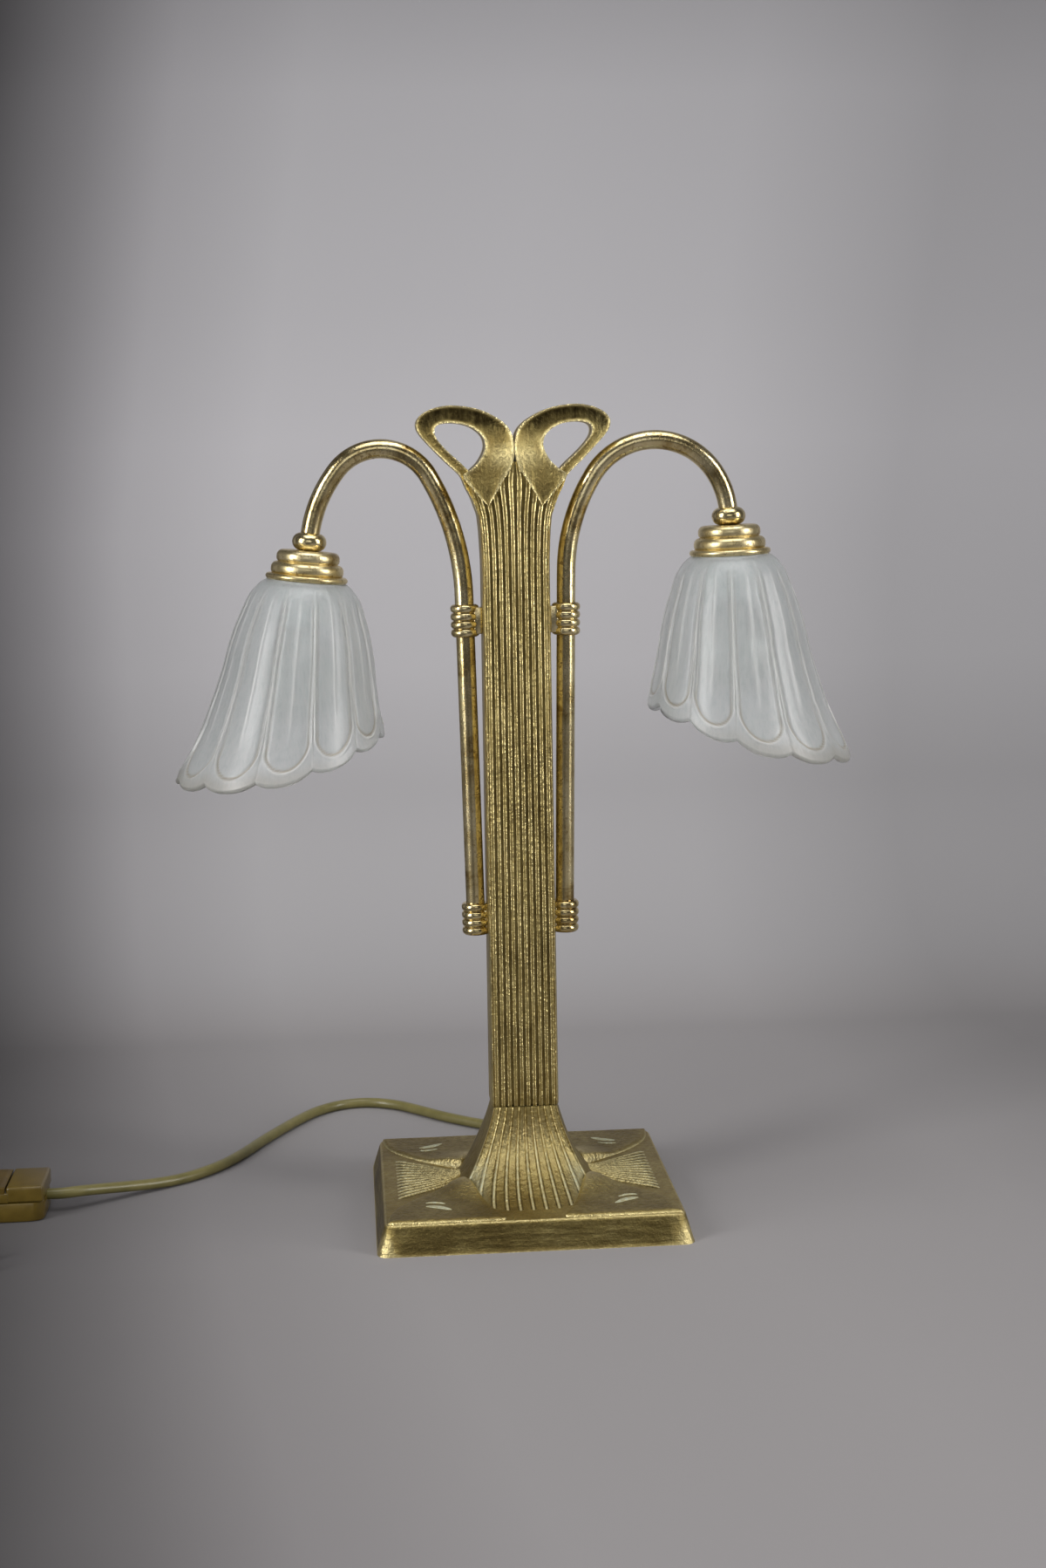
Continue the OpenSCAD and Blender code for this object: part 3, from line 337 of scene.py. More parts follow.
def aged_brass():
    """Cast brass gone olive, rubbed bright by wear and lit by painted highlights, darkened by
    painted shade, with verdigris where stained.
    """
    mat, surface, where = new_finish("aged_brass", metallic=1.0)
    worn_and_painted_light, green = painted(surface, "wear_and_painted_light"), painted(surface, "stain")
    height = driven("SeparateXYZ", {"Vector": where}).outputs["Z"]
    cloud = grain(where, 30, 6, 0.66)
    upright = grain(stretched(where, (1.0, 1.0, 0.16)), 320, 5, 0.6)
    level = grain(stretched(where, (0.12, 0.12, 1.0)), 420, 5, 0.65)
    # the streaks lie level on the plinth's walls and stand upright above them
    in_plinth = graded(height, [(0.0148, (1, 1, 1)), (0.0152, (0, 0, 0))])
    streak = blended(in_plinth, upright, level)
    spots = grain(where, 520, 3, 0.6)
    body = graded(cloud, [(0.34, (0.20, 0.145, 0.048)), (0.5, (0.35, 0.275, 0.10)),
                                (0.66, (0.49, 0.405, 0.17))])
    body = blended(held(scaled(streak, 1.7, -0.55)), body, (0.25, 0.18, 0.06, 1))
    # Positive marks brighten the brass towards pale gold: rubbed wear and painted highlights.
    rub_and_highlight = held(times(worn_and_painted_light, scaled(spots, 1.2, 0.45)))
    # Negative marks darken it nearly to black: painted shade in slots, grooves, valleys, the neck's
    # seam and the plinth's walls, and the bows' darker top and lower end.
    dark = held(times(worn_and_painted_light, -1.0))
    darkening = held(times(dark, scaled(streak, 1.6, 0.2)))
    colour = blended(rub_and_highlight, body, (0.93, 0.79, 0.40, 1))
    colour = blended(darkening, colour, (0.03, 0.022, 0.008, 1))
    crust = held(times(green, scaled(spots, 2.2, -0.4)))
    rough = scaled(streak, 0.18, scaled(cloud, 0.2, 0.26))
    rough = worked("SUBTRACT", rough, times(rub_and_highlight, 0.2))
    wired(surface, base_color=blended(crust, colour, (0.47, 0.50, 0.37, 1)),
          metallic=scaled(crust, -0.85, 1.0), roughness=scaled(crust, 0.3, rough))
    dented(surface, worked("ADD", streak, times(spots, 0.8)), 0.75, 0.0012)
    return mat


def polished_brass(name, satin):
    """Tube and spun brass, bright, with small brown tarnish patches and faint drawing lines."""
    mat, surface, where = new_finish(name, metallic=1.0)
    cloud = grain(where, 55, 5, 0.65, 0.4)
    specks = grain(where, 420, 6, 0.7)
    lines = grain(stretched(where, (1, 1, 0.05)), 900, 2)
    colour = graded(cloud, [(0.34, (0.36, 0.25, 0.09)), (0.47, (0.68, 0.56, 0.29)),
                                  (0.68, (0.83, 0.72, 0.44))])
    tarnish = graded(specks, [(0.38, (1, 1, 1)), (0.45, (0, 0, 0))])
    wired(surface,
          base_color=blended(times(tarnish, 0.65), colour, (0.20, 0.12, 0.045, 1)),
          roughness=scaled(tarnish, 0.16, scaled(cloud, 0.16, satin)))
    dented(surface, worked("ADD", lines, specks), 0.16, 0.0005)
    return mat


def frosted_glass():
    """Pressed glass, acid frosted, its raised lines whitened by painted highlights, with dirt in
    grooves (stain).
    """
    mat, surface, where = new_finish("frosted_glass", ior=1.45)
    raised, dirt = painted(surface, "wear_and_painted_light"), painted(surface, "stain")
    fog = grain(where, 30, 4)
    drawn = grain(stretched(where, (1, 1, 0.05)), 560, 4, 0.65)
    colour = graded(drawn, [(0.34, (0.82, 0.86, 0.86)), (0.5, (0.92, 0.95, 0.95)),
                                  (0.66, (0.98, 0.99, 0.99))])
    # Painted highlight: the raised lines are whitened and let less light through.
    colour = blended(times(raised, 0.7), colour, (1.0, 1.0, 0.97, 1))
    wired(surface, base_color=blended(dirt, colour, (0.52, 0.44, 0.29, 1)),
          transmission_weight=scaled(raised, -0.2, 0.82),
          roughness=scaled(fog, 0.12, 0.24))
    dented(surface, drawn, 0.2, 0.0005)
    return mat


def clear_glass():
    mat, surface, where = new_finish("clear_glass", roughness=0.02, ior=1.45,
                                           transmission_weight=1.0)
    haze = grain(where, 60, 3)
    colour = graded(haze, [(0.3, (0.93, 0.95, 0.93)), (0.7, (0.97, 0.98, 0.97))])
    wired(surface, base_color=colour)
    dented(surface, haze, 0.05, 0.0003)
    return mat


def plain_metal(name, dark, light, rough):
    mat, surface, where = new_finish(name, metallic=1.0)
    cloud = grain(where, 400, 4)
    wired(surface, base_color=graded(cloud, [(0.3, dark), (0.7, light)]),
          roughness=scaled(cloud, 0.2, rough))
    dented(surface, cloud, 0.1, 0.0003)
    return mat


def moulded(name, dark, light, rough, scale=60.0, coat=0.0):
    """Moulded plastic or rubber: faint mottling and a fine moulded skin."""
    mat, surface, where = new_finish(name, coat_weight=coat)
    cloud = grain(where, scale, 5)
    skin = grain(where, 1400, 2)
    wired(surface, base_color=graded(cloud, [(0.3, dark), (0.7, light)]),
          roughness=scaled(cloud, 0.15, rough))
    dented(surface, skin, 0.12, 0.0003)
    return mat


def felt():
    mat, surface, where = new_finish("felt", roughness=0.95, sheen_weight=0.4)
    fibre = grain(stretched(where, (1, 1.7, 1)), 1500, 6, 0.75, 1.0)
    colour = graded(fibre, [(0.3, (0.012, 0.035, 0.018)), (0.7, (0.045, 0.09, 0.05))])
    wired(surface, base_color=colour)
    dented(surface, fibre, 0.6, 0.0008)
    return mat


def floor_paper():
    """Grey paper with painted light and shade graded up the wall and painted shade towards its left
    edge; clear from behind.
    """
    mat, surface, where = new_finish("floor_paper", roughness=0.9)
    axes = driven("SeparateXYZ", {"Vector": where}).outputs
    across = scaled(axes["Y"], 0.158, worked("ADD", axes["X"], 0.4))
    above = held(worked("SUBTRACT", axes["Z"], 0.35))
    across = scaled(above, -0.16, across)
    cloud = grain(where, 4, 3)
    # Painted light and shade up the sweep: brightest round the bend, darker on the near floor and
    # high on the wall.
    colour = graded(axes["Z"], [
        (0.0, (0.285, 0.273, 0.275)), (0.03, (0.31, 0.303, 0.31)),
        (0.25, (0.455, 0.448, 0.465)), (0.42, (0.455, 0.448, 0.468)),
        (0.52, (0.395, 0.389, 0.406)), (0.68, (0.33, 0.325, 0.34)), (0.82, (0.19, 0.187, 0.196))])
    # Painted shade across the paper: a dark band towards the left edge, lighter beyond it, and
    # milder towards the right.
    shade = graded(scaled(across, 0.5, 0.5), [
        (0.3, (0.65, 0.645, 0.65)), (0.46, (0.12, 0.115, 0.12)), (0.545, (0.08, 0.075, 0.08)),
        (0.5825, (0.42, 0.415, 0.42)), (0.6125, (0.76, 0.755, 0.76)), (0.66, (0.97, 0.97, 0.97)),
        (0.75, (1, 1, 1)), (0.83, (0.95, 0.95, 0.95)), (0.91, (0.70, 0.70, 0.70))])
    colour = blended(1.0, colour, shade, "MULTIPLY")
    colour = blended(times(cloud, 0.12), colour, (0.30, 0.295, 0.30, 1))
    wired(surface, base_color=colour)
    tree = mat.node_tree
    behind = add(tree, "NewGeometry").outputs["Backfacing"]
    clear = add(tree, "BsdfTransparent").outputs[0]
    seen = add(tree, "MixShader", {0: behind, 1: surface.outputs[0], 2: clear})
    tree.links.new(seen.outputs[0], tree.nodes["Material Output"].inputs["Surface"])
    return mat


BRASS = aged_brass()
POLISHED = polished_brass("polished_brass", 0.12)
SPUN = polished_brass("spun_brass", 0.24)
GLASS = frosted_glass()
CLEAR = clear_glass()
STEEL = plain_metal("zinc_steel", (0.36, 0.36, 0.35), (0.55, 0.55, 0.53), 0.3)
NICKEL = plain_metal("nickel", (0.55, 0.54, 0.51), (0.70, 0.69, 0.66), 0.15)
WHITE = moulded("white_thermoset", (0.76, 0.79, 0.80), (0.85, 0.88, 0.89), 0.35)
RUBBER = moulded("bushing_rubber", (0.035, 0.028, 0.018), (0.06, 0.05, 0.03), 0.5)
CORD = moulded("cord_sheath", (0.13, 0.115, 0.033), (0.19, 0.165, 0.055), 0.32, 90, 0.15)
GOLD = moulded("gold_plastic", (0.075, 0.048, 0.004), (0.11, 0.072, 0.007), 0.28, 120, 0.25)
GOLD_DARK = moulded("gold_plastic_dark", (0.06, 0.036, 0.003), (0.09, 0.055, 0.005), 0.32, 120,
                    0.2)
FELT = felt()


# -------- cord, made first

CORD_R = 3.0
EXIT_Z = 7.6  # height of the cord in the foot's back wall
SWITCH_X, SWITCH_Y, SWITCH_CORD_Z = -293, 18, 10
PLUG_Y, PLUG_Z = -66, 7
# routes laid on the table: x, y and height of the cord's centre
LAMP_ROUTE = [
    (0, 103, EXIT_Z), (0, 110, EXIT_Z), (-1, 118, 6.6), (-6, 127, 4.6), (-15, 136, 3.3),
    (-27, 146, 3.1), (-40, 158, 3.1), (-53, 172, 3.1), (-67, 185, 3.1), (-84, 192, 3.1),
    (-101, 189, 3.1), (-115, 178, 3.1), (-126, 162, 3.1), (-137, 142, 3.1), (-148, 120, 3.1),
    (-158, 98, 3.1), (-168, 80, 3.1), (-180, 65, 3.1), (-193, 54, 3.2), (-207, 45, 4.2),
    (-220, 37, 6), (-232, 29, 8), (-243, 22, 9.6), (-253, 18, 10), (-261, 18, 10)]
LEAD_ROUTE = [(-325, 18, 10), (-332, 18, 10), (-342, 18, 8.5), (-352, 18, 5.2), (-362, 18, 3.3),
              (-372, 18, 3.1)]
TAIL_ROUTE = [(-372, -66, 9.7), (-362, -66, 9.4), (-352, -66, 8), (-344, -66, 7), (-336, -66, 7)]
COIL_CENTRE = (-379, -24)
COIL_R, COIL_PITCH, COIL_TURNS, COIL_LOW = 42, 6.6, 6.5, 3.1
COIL_STEPS = 36  # points to a turn


def coil_point(t):
    """After t turns: inwards on the lower layer, then up and outwards on the upper one."""
    r = COIL_R - COIL_PITCH * min(t, COIL_TURNS - t)
    a = radians(90 + 360 * t)
    z = COIL_LOW + COIL_PITCH * eased((t - COIL_TURNS / 2) * 2 + 0.5)
    return (COIL_CENTRE[0] + r * cos(a), COIL_CENTRE[1] + r * sin(a), z)


def cord_path():
    in_foot = [(0, y, EXIT_Z) for y in (76, 84, 94)]
    in_switch = [(SWITCH_X + x, SWITCH_Y, SWITCH_CORD_Z) for x in (16, 0, -16)]
    wound = [coil_point(k / COIL_STEPS) for k in range(int(COIL_STEPS * COIL_TURNS) + 1)]
    lead = in_foot + through(LAMP_ROUTE, 3) + in_switch
    return lead + through(LEAD_ROUTE, 3) + wound + through(TAIL_ROUTE, 3)


def length_of(path):
    return sum((Vector(b) - Vector(a)).length for a, b in zip(path, path[1:]))


def make_cord():
    path = cord_path()
    bm = bmesh.new()
    swept_tube(bm, path, CORD_R, 14)
    cord = finished("mains_cord", bm, CORD, "lamp_cord cord_lead cord_coil cord_tail",
                    sharp=60)
    return cord, [tuple(c * MM for c in p) for p in path], length_of(path) * MM


set_camera()
mains_cord, mains_path, mains_length = make_cord()


# -------- switch and plug

def switch_shell():
    """Two half shells with a fine joint line, rounded ends, and the rocker's well cut across."""
    half_length, half_width, squareness = 32.0, 17, 0.28
    levels = [(14, 0), (1.6, 0), (0.5, 0.5), (0, 1.6), (0, 10.2), (0.35, 10.75), (6, 10.8)]
    last = len(levels) - 1

    def place(u, v):
        inset, z = levels[round(v * last)]
        a = TAU * u
        x = (half_length - inset) * signed_power(cos(a), squareness)
        y = (half_width - inset) * signed_power(sin(a), squareness)
        return (SWITCH_X + x, SWITCH_Y + y, z), 0.0

    bm = bmesh.new()
    closed_ends(bm, pulled_sheet(bm, 96, last, place))
    base = finished("switch_lower_shell", bm, GOLD, "switch_base")
    bm = bmesh.new()
    front, back, split = SWITCH_Y - half_width, SWITCH_Y + half_width, 11.0
    for x_low, x_high in ((-325, -305.3), (-280.7, -261)):
        block(bm, (x_low, front, split), (x_high, back, 20), 1.5, 4)
    block(bm, (-306.5, front, split), (-279.5, back, 16.6), 0.7, 3)
    cover = finished("switch_upper_shell", bm, GOLD, "switch_cover")
    return base, cover


def switch_rocker():
    """A bent rocker, its lamp-side end pressed in, with three grip lines on the raised end."""
    half_length, half_width, top, bottom, pivot_z = 11, 16.9, 5.5, 1.8, 14.5
    grip_lines = -9.2, -7.4, -5.6
    lean = radians(14) / 2
    bm = bmesh.new()

    def place(u, v):
        x, y = mixed(-half_length, half_length, u), mixed(-half_width, half_width, v)
        rise = abs(x) * tan(lean) - 0.25 * eased((abs(x) - 8) / 3)
        grip = max(0.35 * max(0, 1 - abs(x - line) / 0.55) for line in grip_lines)
        side = min(1, (half_width - abs(y)) / 0.8)
        return (x, y, top + rise + grip - 0.5 * (1 - side)), grip

    pulled_sheet(bm, 88, 24, place)
    rims = [e for e in bm.edges if e.is_boundary]
    made = ops.extrude_edge_only(bm, edges=rims)["geom"]
    skirt = [v for v in made if isinstance(v, bmesh.types.BMVert)]
    for v in skirt:
        v.co.z = bottom + abs(v.co.x) * tan(lean)
    closed_ends(bm, skirt)
    where = Matrix.Translation((SWITCH_X, SWITCH_Y, pivot_z)) @ Matrix.Rotation(lean, 4, "Y")
    ops.transform(bm, matrix=where, verts=bm.verts)
    return finished("rocker_key", bm, GOLD_DARK, "switch_rocker", body="rocker")


def plug():
    """A flat two-pin plug: wide at its face, waisted for the fingers, round at the cord."""
    # x, half width and half thickness
    levels = [(-336, 4.2, 4.2), (-335, 4.8, 4.8), (-328, 6.0, 5.2), (-320, 10.0, 5.6),
              (-314, 13.6, 6.2), (-309, 15.4, 6.7), (-305, 16.6, 7), (-301, 17, 7),
              (-300, 16.2, 6.2)]
    line = through(levels, 3)
    last = len(line) - 1

    def place(u, v):
        x, wide, thick = line[round(v * last)]
        a = TAU * u
        k = mixed(1.0, 0.55, eased((x + 330) / 20))
        ey, ez = signed_power(cos(a), k), signed_power(sin(a), k)
        rib = 0.35 * max(0, cos((x + 318) * TAU / 3.2)) if -324 < x < -312 else 0
        return (x, PLUG_Y + (wide - rib) * ey, PLUG_Z + (thick - rib * 0.5) * ez), 0.0

    bm = bmesh.new()
    closed_ends(bm, pulled_sheet(bm, 48, last, place))
    body = finished("plug_shell", bm, GOLD, "plug_body")
    bm = bmesh.new()
    profile = filleted([(0, -301.5, 0), (2, -301.5, 0), (2, -281, 0.9), (0, -281, 0)])
    for y in (-9.3, 9.3):
        where = Matrix.Translation((0, PLUG_Y + y, PLUG_Z)) @ Matrix.Rotation(pi / 2, 4, "Y")
        turned(bm, profile, where, 32)
    pins = finished("plug_contact_pins", bm, NICKEL, "plug_pins")
    return body, pins


def strain_relief():
    """The ribbed, tapered bushing that the cord leaves the foot through."""
    bm = bmesh.new()
    ribs = 7
    line = [(3.1, 69.5), (4.0, 69.5), (4.0, 75.5), (5.6, 76.2), (5.6, 78.6), (5.2, 79.2)]
    for k in range(ribs):
        y = 80.2 + k * 3.1
        r = mixed(5.0, 3.9, k / ribs)
        line += [(r, y), (r, y + 1.6), (r - 0.55, y + 1.9), (r - 0.55, y + 2.9)]
    line += [(3.75, 102.4), (3.5, 103), (3.1, 103)]
    profile = filleted([(r, y, 0.3) for r, y in line], 2)
    where = Matrix.Translation((0, 0, EXIT_Z)) @ Matrix.Rotation(-pi / 2, 4, "X")
    turned(bm, profile, where, 48, loop=True)
    return finished("cord_relief", bm, RUBBER, "cord_bushing")


shell_low, shell_high = switch_shell()
rocker = switch_rocker()
plug_shell, plug_pins = plug()
relief = strain_relief()


# -------- foot

FLUTES = 10
SEAM = 58.0  # where the foot's neck meets the column
SEAM_DRAW = 0.985  # how far both are drawn in there
PLINTH = 15.5
PLINTH_BASE, PLINTH_TOP = (165, 155), (156, 146)
SKIN_LEVEL = PLINTH - 1.2  # how deep the relief is rooted in the plinth
NECK_SHARES, SHAFT_SHARES = (0.8, 0.2), (0.78, 0.22)  # of half the way round: a front, a side


def face_of(u, shares):
    """Round a form whose back is its front turned about Z: the half's sign, whether u is on the
    front, and the place across that front or side, from -1 to 1."""
    front, side = shares
    u %= 1.0
    along = u * 2 % 1.0
    turn = 1 if u < 0.5 else -1
    if along < front:
        return turn, True, along / front * 2 - 1
    return turn, False, (along - front) / side * 2 - 1


def off_middle(v):
    """Across the flutes, v from -1 to 1: 0 on a flute's middle line and 1 on its edges."""
    f = (v + 1) / 2 * FLUTES
    return abs(2 * (f - floor(f)) - 1)


def flute(v):
    """The hollow of the panel, its ridge, and the slot beside the ridge."""
    m = off_middle(v)
    return max(0.0, 1 - (m / 0.5) ** 2), eased(1 - abs(m - 0.4) / 0.24), eased((m - 0.52) / 0.24)


def trumpet_point(u, z):
    """The flared neck's skin at height z; u runs once round it, starting at the front left."""
    t = (SEAM - z) / (SEAM - PLINTH)
    g = 1 - sqrt(max(0.0, 1 - t ** 3))
    rx = mixed(17.0, 34.0, t ** 1.3)
    ry = mixed(12.0, 19.5, t)
    front = mixed(13.0, 61.0, g)
    side = mixed(18.0, 42.0, (t + g) / 2)
    turn, on_front, v = face_of(u, NECK_SHARES)
    if on_front:
        m = off_middle(v)
        edge = 1 - min(1, (1 - abs(v)) * 28)
        crest, beside = eased((m - 0.74) / 0.24), eased(1 - abs(m - 0.66) / 0.16)
        groove = mixed(0.7, 1.3, eased(t * 1.6)) * (1 - m ** 4)
        y = -(ry + (front - ry) * (1 - abs(v) ** 4) - groove)
        x = v * rx
        # The crests and the front's edges are rubbed bright. The brightening up the middle of the
        # front is a painted highlight, and the dark lines beside the crests are painted shade.
        wear_and_painted_light = max(0.85 * crest, edge, 0.3 * sin(pi * t ** 0.7))
        wear_and_painted_light -= 0.8 * beside * (1 - edge)
        stain = 0.7 * crest * eased((t - 0.1) * 2)
        stain += 0.5 * eased((abs(v) - 0.6) * 3) * eased((t - 0.55) * 3)
    else:
        x = rx + (side - rx) * (1 - v * v)
        y = v * ry
        wear_and_painted_light = max(0.0, 0.75 - (1 - abs(v)) * 6) - 0.1
        stain = 0.0
    return Vector((x * turn, y * turn, z)), min(1, wear_and_painted_light), stain


def plinth(bm):
    """The hollow square plinth with leaning walls."""
    wear_and_painted_light, _ = marks(bm)
    made = ops.create_cube(bm, size=1.0)["verts"]
    for v in made:
        (wide, deep), z = (PLINTH_TOP, PLINTH) if v.co.z > 0 else (PLINTH_BASE, 0.0)
        v.co = Vector((v.co.x * wide, v.co.y * deep, z))
    upright = [e for e in bm.edges if abs(e.verts[0].co.z - e.verts[1].co.z) > 5]
    ops.bevel(bm, geom=upright, offset=5.5, segments=5, profile=0.5, affect="EDGES",
                    material=-1)
    bottom = [f for f in bm.faces if all(v.co.z < 0.1 for v in f.verts)]
    ops.inset_region(bm, faces=bottom, thickness=3.6, depth=0)
    ops.translate(bm, vec=(0, 0, 5.0), verts=list({v for f in bottom for v in f.verts}))
    edges = [e for e in bm.edges if all(abs(v.co.z - PLINTH) < 0.01 for v in e.verts)
             and len(e.link_faces) == 2 and any(f.normal.z < 0.9 for f in e.link_faces)]
    ops.bevel(bm, geom=edges, offset=1.1, segments=3, profile=0.5, affect="EDGES",
                    material=-1)
    bm.normal_update()
    sides = [f for f in bm.faces if abs(f.normal.z) < 0.6 and f.calc_area() > 400
             and max(abs(f.calc_center_median().x), abs(f.calc_center_median().y)) > 70]
    edges = {e for f in sides for e in f.edges if e.calc_length() > 60}
    ops.subdivide_edges(bm, edges=list(edges), cuts=24, use_grid_fill=True)
    for z in (0.8, 2.4, 7.0, 12.2, 13.6):
        ops.bisect_plane(bm, geom=bm.verts[:] + bm.edges[:] + bm.faces[:], dist=1e-4,
                               plane_co=(0, 0, z), plane_no=(0, 0, 1))
    for v in bm.verts:
        x, y, z = v.co
        out_x, out_y = abs(x) / 79, abs(y) / 74
        corner = min(1.0, max(0.0, (out_x + out_y - 1.92) * 14))
        wall = min(1.0, z / 2.4, max(0.0, PLINTH - z) / 2.0)
        edge = max(0.55 * (1 - z / 1.2), 0.6 * max(0, 1 - abs(z - PLINTH + 0.5) / 1.1), 0.0)
        inside = z > PLINTH - 0.01 or max(out_x, out_y) < 0.93
        # The walls get painted shade. The edges and corners are brightened, partly rubbed wear and
        # partly painted highlight.
        v[wear_and_painted_light] = 0.0 if inside else mixed(edge - 0.55 * wall, 0.6, corner)


LEAF_SIDE = [(76.6, 71.5), (75.4, 60), (72, 50), (66, 41), (58.5, 32.5), (51, 26), (44.5, 21),
             (38.5, 15.5), (34, 13), (31, 17), (28, 26), (24.5, 40), (20.5, 54), (16, 66),
             (15.5, 70.5), (22, 71.9), (40, 72.1), (60, 72.1), (76.6, 71.5)]
LEAF_HEART = (50.0, 50.0)
LEAF_RISE = 1.9
SEEDS = ((42, 57.5), (57, 49.5), 2.2), ((45, 47.5), (57, 45.0), 1.0)  # from, to, half width


def corner_leaf(bm, sx, sy):
    """A swelling leaf from the foot's corner to the neck, where it climbs the flare."""
    edge = through(LEAF_SIDE, 6)
    around = len(edge) - 1

    def place(u, v):
        ex, ey = edge[round(u * around)]
        v = 1 - (1 - v) ** 1.8
        x, y = mixed(LEAF_HEART[0], ex, v), mixed(LEAF_HEART[1], ey, v)
        inward = (1 - v) * hypot(ex - LEAF_HEART[0], ey - LEAF_HEART[1])
        swell = sqrt(max(0.0, 1 - (1 - min(1.0, inward / 3.4)) ** 2))
        near = eased(1 - hypot(x - 31, y - 20) / 26)
        z = PLINTH - 0.35 + LEAF_RISE * swell + 4.6 * near * swell
        front = eased((ey - 60) / 10) if inward < 1.1 else 0.0
        lip = max(0.0, 1 - inward / 0.9)
        # The lip, brightest along the front, and the rise up the neck are brightened by wear and
        # painted highlight. The face darkens away from its rim.
        wear_and_painted_light = lip * (0.35 + 0.6 * front) - 0.25 * eased(inward / 8) + 0.45 * near
        return (x * sx, -y * sy, z), wear_and_painted_light, 0.35 * eased(1 - inward / 1.5) * (1 - front)

    backed(bm, pulled_sheet(bm, around, 16, place), SKIN_LEVEL)
    base = PLINTH + LEAF_RISE - 0.35
    for (x0, y0), (x1, y1), wide in SEEDS:
        def seed(u, v):
            a = TAU * u
            along, over = 0.5 - 0.5 * cos(a) * v, sin(a) * v * wide
            bend = 1.6 * sin(pi * along)
            x = mixed(x0, x1, along) + over * 0.45
            y = mixed(y0, y1, along) + over * 0.9 - bend
            z = base - 0.25 + 0.75 * sqrt(max(0, 1 - v * v))
            return (x * sx, -y * sy, z), 0.3, 1.0

        backed(bm, pulled_sheet(bm, 24, 5, seed), PLINTH)


def side_fan(bm, sx):
    """Thirteen fine pleats that open from the neck towards the side of the foot."""
    ribs = 13

    def place(u, v):
        x = mixed(34.0, 70.5, v)
        half = mixed(6.5, 34.0, v ** 0.92)
        m = abs(2 * ((u * ribs) % 1.0) - 1)
        crest = (1 - m) ** 1.3
        drop = eased((1 - v) * 12)
        slope = 3.4 * (1 - v) ** 2.2 * (1 - (2 * u - 1) ** 4)
        z = PLINTH - 0.12 + slope + 1.25 * crest * (0.35 + 0.65 * v) * drop
        valley = eased((0.45 - crest) * 4)
        # Crests are rubbed bright. The valleys get painted shade, deeper towards the outer end.
        wear_and_painted_light = 0.55 * crest - 1.2 * valley * v
        return (x * sx, (2 * u - 1) * half, z), wear_and_painted_light, 0.75 * crest ** 2 * v

    backed(bm, pulled_sheet(bm, ribs * 8, 16, place), SKIN_LEVEL)


def make_foot():
    bm = bmesh.new()
    plinth(bm)
    heights = [SEAM, 57.3, 55, 51, 47, 43, 39, 35.5, 32, 29, 26.3, 24, 22, 20.3, 19, 18, 17.2,
               16.6, 16.2, 15.3]
    last = len(heights) - 1

    def neck(u, v):
        k = last - round(v * last)
        where, worn_and_painted_light, stain = trumpet_point(u, heights[k])
        # The top ring, drawn in where the column meets it, gets painted shade.
        if k == 0:
            where.x *= SEAM_DRAW
            where.y *= SEAM_DRAW
            worn_and_painted_light = -1.0
        return where, worn_and_painted_light, stain

    closed_ends(bm, pulled_sheet(bm, 640, last, neck))
    for sx in (-1, 1):
        side_fan(bm, sx)
        for sy in (-1, 1):
            corner_leaf(bm, sx, sy)
    finished("cast_foot", bm, BRASS, "foot", sharp=40)


# -------- column and bows

COLUMN_TOP = 402.0
SHAFT_WIDTH = [(350, 17.7), (366, 18.4), (374, 19.2), (380, 20.6), (385, 22.4), (390, 24.0),
               (394, 23.6), (398, 19.0), (402.5, 12.0)]


def shaft_point(u, z):
    """The column's skin at height z; u runs once round it, starting at the front left."""
    half = looked_up(SHAFT_WIDTH, z) if z > 350 else mixed(18.3, 17.7, (z - SEAM) / 292)
    deep_half = 13.0
    turn, on_front, v = face_of(u, SHAFT_SHARES)
    a = abs(v)
    if on_front:
        hollow, ridge, slot = flute(v)
        edge = 1.0 - min(1.0, (1 - a) * 22)
        slot *= 1 - edge
        wander = 0.2 * sin(z * 0.31 + v * 9) + 0.2 * sin(z * 0.83 + v * 23)
        strip = round(v * 5)
        sway = sin(z * 0.11 + strip * 2.1) + 0.6 * sin(z * 0.37 + strip * 4.3)
        x = v * (half - 1.3) + 0.07 * sway * (1 - v * v)
        y = -(deep_half - 0.35 * hollow * (1 + wander) - 1.3 * slot * (1 + 0.6 * wander)
              - 0.5 * v ** 8)
        # Ridges are rubbed bright. The slots and the panels' hollows get painted shade, and the
        # upper part gets a painted highlight.
        wear_and_painted_light = 1.1 * ridge * (0.75 + 0.25 * sin(z * 0.09 + v * 7)) - 2.2 * slot
        wear_and_painted_light += 0.12 * eased((z - 320) / 50) - 0.6 * hollow * (0.6 + wander)
        wear_and_painted_light = max(wear_and_painted_light, edge)
    else:
        x = half - 1.3 * max(0.0, (a - 0.72) / 0.28) ** 2.2
        y = v * (deep_half - 0.5)
        wear_and_painted_light = 0.5 * max(0.0, (a - 0.7) / 0.3) + 0.12
    return Vector((x * turn, y * turn, z)), min(1, wear_and_painted_light)


